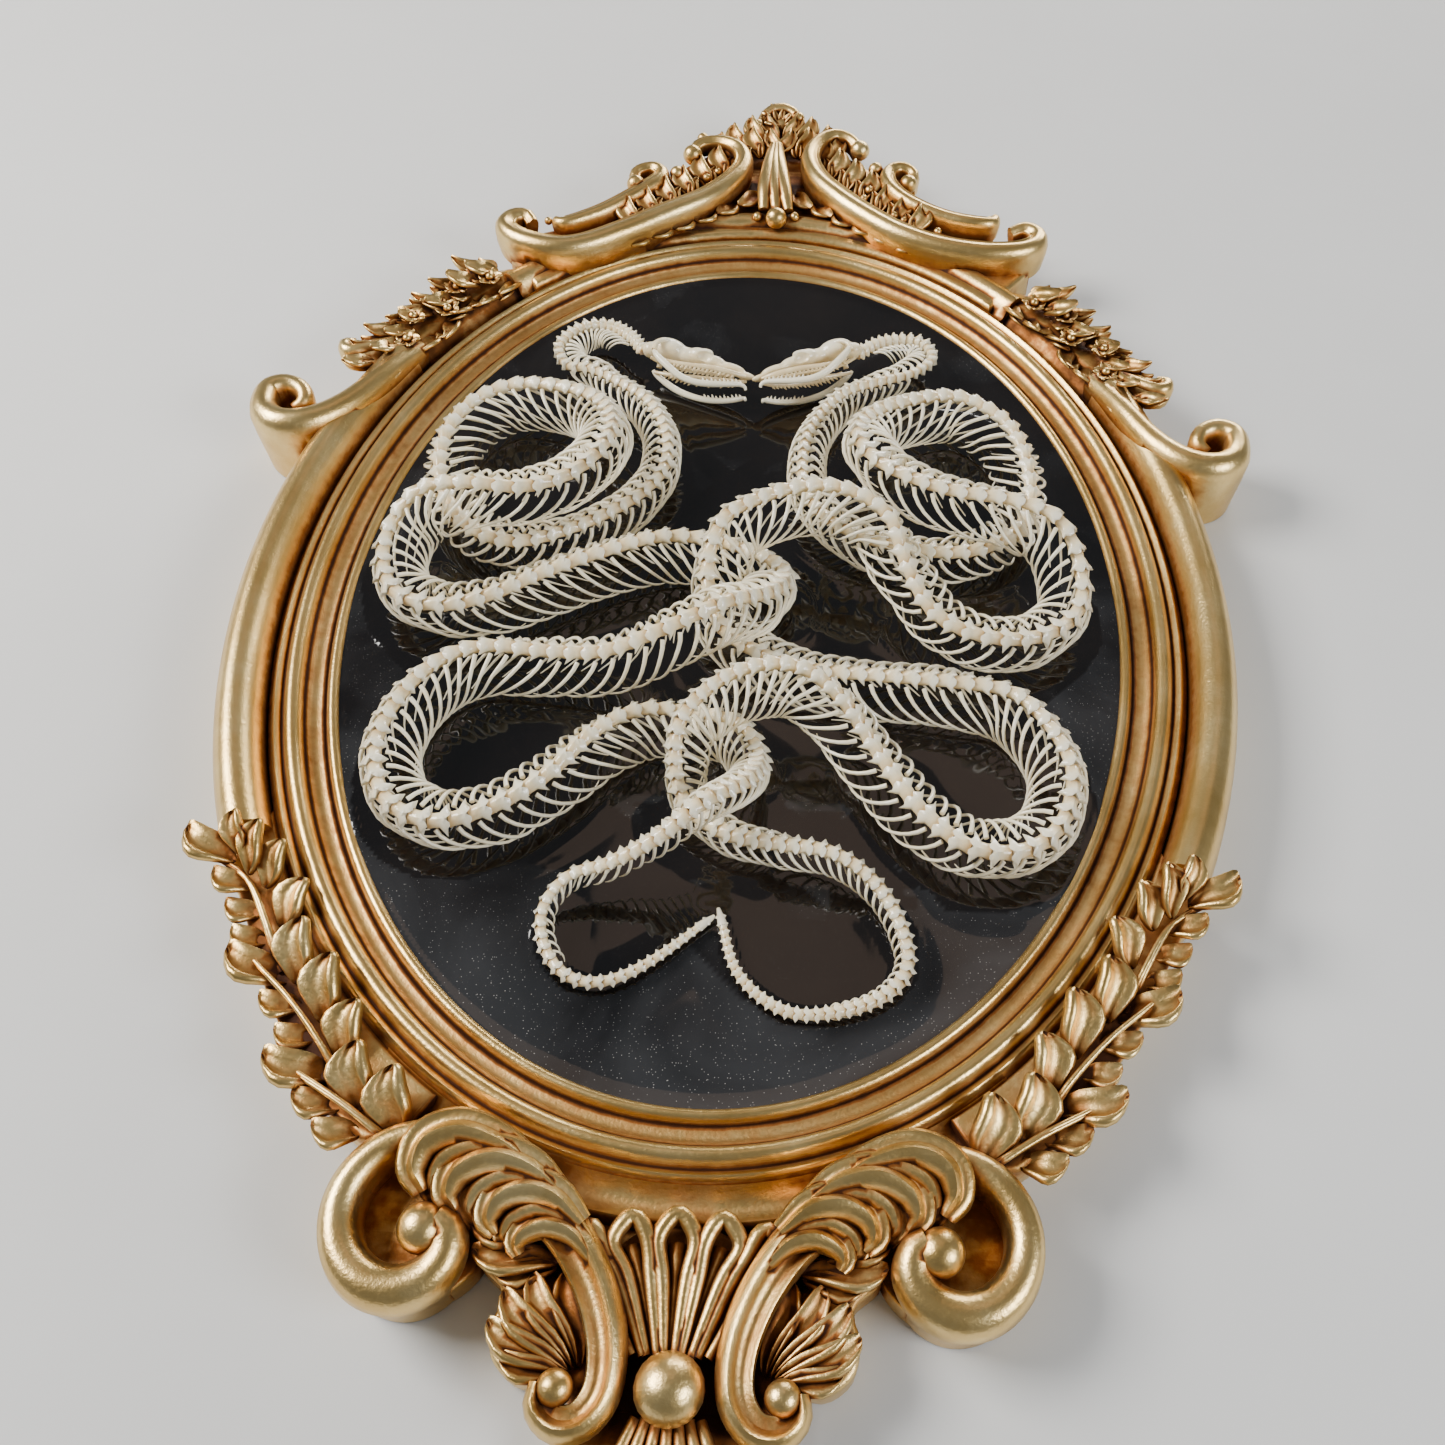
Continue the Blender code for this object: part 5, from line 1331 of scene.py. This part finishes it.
def mark_hollows(pieces):
    """Marks how deep each point of the frame lies among the pieces round it, from 0 to 1: how much wax and
    painted shade it gets.
    """
    corners, faces = [], []
    for piece in pieces:
        base = len(corners)
        corners += [vert.co.copy() for vert in piece.data.vertices]
        faces += [[base + i for i in face.vertices] for face in piece.data.polygons]
    tree = BVHTree.FromPolygons(corners, faces)
    directions = []  # turning round, from low over the surface to almost straight out of it
    for k in range(HOLLOW_RAYS):
        high = 0.25 + 0.75 * (k + 0.5) / HOLLOW_RAYS
        turn = k * GOLDEN_TURN
        flat = math.sqrt(1 - high * high)
        directions.append((flat * math.cos(turn), flat * math.sin(turn), high))
    for piece in pieces:
        mesh = piece.data
        mark = mesh.attributes.new("hollow", "FLOAT", "POINT")
        turned = "moulding" in piece.name or "rail" in piece.name
        values = np.zeros(len(mesh.vertices), np.float32)
        for number, vert in enumerate(mesh.vertices):
            if turned:
                values[number] = np.interp(distance_out(vert.co.x / MM, vert.co.y / MM), *zip(*MOULDING_WAX_AND_SHADE))
                continue
            normal = vert.normal
            across = normal.orthogonal().normalized()
            over = normal.cross(across)
            start = vert.co + normal * (0.12 * MM)
            closed = 0.0
            for a, b, c in directions:
                hit = tree.ray_cast(start, across * a + over * b + normal * c, HOLLOW_REACH)
                if hit[0] is not None:
                    closed += 1.0 - 0.7 * hit[3] / HOLLOW_REACH
            values[number] = closed / HOLLOW_RAYS
        mark.data.foreach_set("value", values)


leaves = {1: leaf_masters(1), -1: leaf_masters(-1)}
gilt_pieces = [(inner_moulding(), ["moulding_oval"])]
for side, name in ((1, "right"), (-1, "left")):
    torus = side_torus(side)
    torus.name = f"torus_{name}_rail"
    gilt_pieces.append((torus, [f"torus_{name}"]))
    gilt_pieces.append((swag(side, leaves[side]), [f"swag_{name}"]))
    gilt_pieces.append((side_volute(side), [f"side_volute_{name}"]))
    gilt_pieces.append((laurel(side, leaves[side]), [f"laurel_{name}"]))
    gilt_pieces.append((foot_scroll(side, leaves[side]), [f"foot_volute_{name}", f"acanthus_{name}"]))
gilt_pieces.append((crown(leaves), ["crown_plate", "crown_scroll_left", "crown_scroll_right", "crown_drop"]))
gilt_pieces.append((foot_ground(), ["foot_plate", "fan", "boss", "pendant"]))
discard(*leaves[1].values(), *leaves[-1].values())
mark_hollows([piece for piece, _ in gilt_pieces])
for piece, nodes in gilt_pieces:
    finish_piece(piece, GILT, "gilt", *nodes)


# The resin --------------------------------------------------------------------------------

LOW = 3.2 * MM  # ribs that end within this height over the resin draw it up
SLIM_TAIL = 0.905  # the share of the backbone from which its vertebrae, not its ribs, draw the resin up


def body_outline(spines):
    """The skeletons' plan where they lie low enough to draw the resin up: places and half widths."""
    marks = []
    for spine in spines:
        for k in range(0, len(spine.points), 2):
            share = k / (len(spine.points) - 1)
            width, depth = cage_size(share)
            place = spine.points[k]
            if place[2] - RESIN_HEIGHT < depth + LOW:
                marks.append((place[0], place[1], width if share < SLIM_TAIL else wing_width(share)))
    return marks


LOOP_REACH = 34 * MM  # how far off the bodies of a loop may lie


def enclosed(taken, cell):
    """For each cell of a plan, from 0 to 1: does a loop of the bodies lie all round it?"""
    rows, columns = taken.shape
    y, x = np.mgrid[0:rows, 0:columns]
    sides = np.zeros(taken.shape)
    for k in range(8):
        turn = math.pi * k / 4
        met = np.zeros(taken.shape, bool)
        for step in range(1, int(LOOP_REACH / cell)):
            there = (np.clip(np.rint(y + step * math.sin(turn)).astype(int), 0, rows - 1),
                     np.clip(np.rint(x + step * math.cos(turn)).astype(int), 0, columns - 1))
            met |= taken[there]
        sides += met
    return np.clip((sides - 5) / 2, 0, 1)  # 0 with bodies on 5 of 8 sides, 1 with bodies on 7


def calmed(field, rounds):
    """The field with each inner cell made the mean of its four neighbours, over and over."""
    for _ in range(rounds):
        field[1:-1, 1:-1] = (field[:-2, 1:-1] + field[2:, 1:-1] + field[1:-1, :-2] + field[1:-1, 2:]) / 4
    return field


def resin_surface(spines):
    """The poured panel: it climbs at bones and frame, ripples round them, and is calm inside loops."""
    across, along = ((196, 264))
    bpy.ops.mesh.primitive_grid_add(x_subdivisions=across, y_subdivisions=along, size=2,
                                    location=(0, 0, RESIN_HEIGHT))
    panel = bpy.context.object
    panel.scale = (OPENING_HALF_WIDTH + RESIN_GRID, OPENING_HALF_LENGTH + RESIN_GRID, 1)
    settle(panel)
    marks = body_outline(spines)
    tree = KDTree(len(marks))
    for number, (x, y, _) in enumerate(marks):
        tree.insert((x, y, 0), number)
    tree.balance()
    gaps = []
    for vert in panel.data.vertices:
        near = tree.find_n((vert.co.x, vert.co.y, 0), 10)
        gaps.append(min(found[2] - marks[found[1]][2] for found in near) / MM)
    plan = np.array(gaps).reshape(along + 1, across + 1)
    cell = 2 * (OPENING_HALF_WIDTH + RESIN_GRID) / across
    calm = enclosed(plan < 0.3, cell).ravel()
    attribute = panel.data.attributes.new("calm", "FLOAT", "POINT")
    attribute.data.foreach_set("value", calm.astype(np.float32))
    ripples = calmed(np.sin(1.1 * plan) * np.exp(-np.maximum(plan, 0.0) / 8), 14)
    soft = calmed(plan.copy(), 3)
    for vert, gap, ripple, still in zip(panel.data.vertices, soft.ravel(), ripples.ravel(), calm):
        edge = 1 - math.hypot(vert.co.x / OPENING_HALF_WIDTH, vert.co.y / OPENING_HALF_LENGTH)
        # In millimetres, the climb at the bones, then the ripples, the climb at the frame and unevenness.
        rise = 0.24 * (1 - eased(gap, 1.2, 5.6)) + 0.34 * math.exp(-(max(gap, 0.0) / 0.8) ** 2)
        rise += 0.07 * ripple
        rise += 0.3 * math.exp(-(max(edge, 0.0) * HALF_WIDTH) ** 2)
        rise += 0.08 * (1 - 0.6 * still) * noise.noise(vert.co * 60.0)
        vert.co.z += rise * MM
    edit(panel)
    border = (OPENING_HALF_WIDTH + RESIN_EDGE, OPENING_HALF_LENGTH + RESIN_EDGE)
    pick(lambda v: (v.x / border[0]) ** 2 + (v.y / border[1]) ** 2 > 1)
    bpy.ops.mesh.delete(type="VERT")
    bpy.ops.mesh.select_mode(type="EDGE")
    shape = bmesh.from_edit_mesh(panel.data)
    for rim in shape.edges:
        rim.select = rim.is_boundary
    bmesh.update_edit_mesh(panel.data)
    bpy.ops.mesh.extrude_edges_move()
    shift(z=-4 * MM)
    spread(z=0.0, about=(0, 0, 0.5 * MM))
    bpy.ops.mesh.edge_face_add()
    face_outwards()
    leave()
    smooth(50)
    panel.name = "poured_resin"
    return panel


finish_piece(resin_surface((left_spine, right_spine)), RESIN, "resin", "resin_panel")

case = braincase()
left_head = skull_pieces("left", LEFT_HEAD, 1, case)
for piece, node in zip(left_head, ("skull", "mandible_upper", "mandible_lower")):
    finish_piece(piece, BONE, "bone", node)
for piece in skull_pieces("right", RIGHT_HEAD, -1, case):
    finish_piece(piece, BONE, "bone", "second_snake")
discard(case)


# Camera, floor and light ------------------------------------------------------------------

PHOTO = 1445  # pixels each way
LENS = 1420  # in the photograph's pixels, as the shift is
SHIFT = -80
SENSOR = 36
CAMERA_PLACE = (14.49 * MM, -185.19 * MM, 232.74 * MM)
CAMERA_TILT = math.radians(35.12)
CAMERA_ROLL = math.radians(2.75)


def set_camera():
    """The camera stands over the foot, looks down and ahead, and is rolled a little."""
    data = bpy.data.cameras.new("camera")
    camera = placed("camera", data)
    data.sensor_width = SENSOR
    data.sensor_fit = "HORIZONTAL"
    data.lens = LENS / PHOTO * SENSOR
    data.shift_x = SHIFT / PHOTO
    data.clip_start = 0.01
    ahead = Vector((0, math.sin(CAMERA_TILT), -math.cos(CAMERA_TILT)))
    level = Vector((1, 0, 0))
    above = level.cross(ahead)
    right = math.cos(CAMERA_ROLL) * level + math.sin(CAMERA_ROLL) * above
    up = -math.sin(CAMERA_ROLL) * level + math.cos(CAMERA_ROLL) * above
    turned = Matrix((right, up, -ahead)).transposed().to_4x4()
    camera.matrix_world = Matrix.Translation(CAMERA_PLACE) @ turned
    bpy.context.scene.camera = camera


def add_light(name, size, power, place, target, colour):
    data = bpy.data.lights.new(name, "AREA")
    data.shape = "RECTANGLE"
    data.size, data.size_y = size
    data.energy = power
    data.color = colour
    light = placed(name, data)
    light.location = place
    light.rotation_euler = (Vector(target) - Vector(place)).to_track_quat("-Z", "Y").to_euler()


set_camera()
bpy.ops.mesh.primitive_plane_add(size=6)
floor = bpy.context.object
floor.name = "floor"
pale = Finish("pale_floor", 6.0, 60.0, 0.0001)
pale.feed(pale.ramp(pale.cloud, (0.3, (0.64, 0.64, 0.63)), (0.7, (0.69, 0.69, 0.68))), "Base Color")
pale.set(Roughness=0.8)
floor.data.materials.append(pale.material)

world = bpy.data.worlds.new("studio") if bpy.context.scene.world is None else bpy.context.scene.world
bpy.context.scene.world = world
world.use_nodes = True
world.node_tree.nodes["Background"].inputs["Color"].default_value = (0.9, 0.95, 1.0, 1)
world.node_tree.nodes["Background"].inputs["Strength"].default_value = 0.20
add_light("key", (0.45, 0.35), 11.5, (-0.62, 0.10, 0.58), (0, 0, 0), (1.0, 0.97, 0.93))
add_light("rim", (0.6, 0.16), 5.2, (0.25, 0.85, 0.24), (0, 0, 0), (1.0, 0.98, 0.95))
add_light("ceiling", (0.40, 0.26), 0.20, (0.05, 0.42, 0.86), (0, -0.04, 0), (1.0, 0.68, 0.48))
add_light("fill", (0.36, 0.22), 4.4, (0.60, -0.35, 0.45), (0, 0, 0), (0.93, 0.96, 1.0))
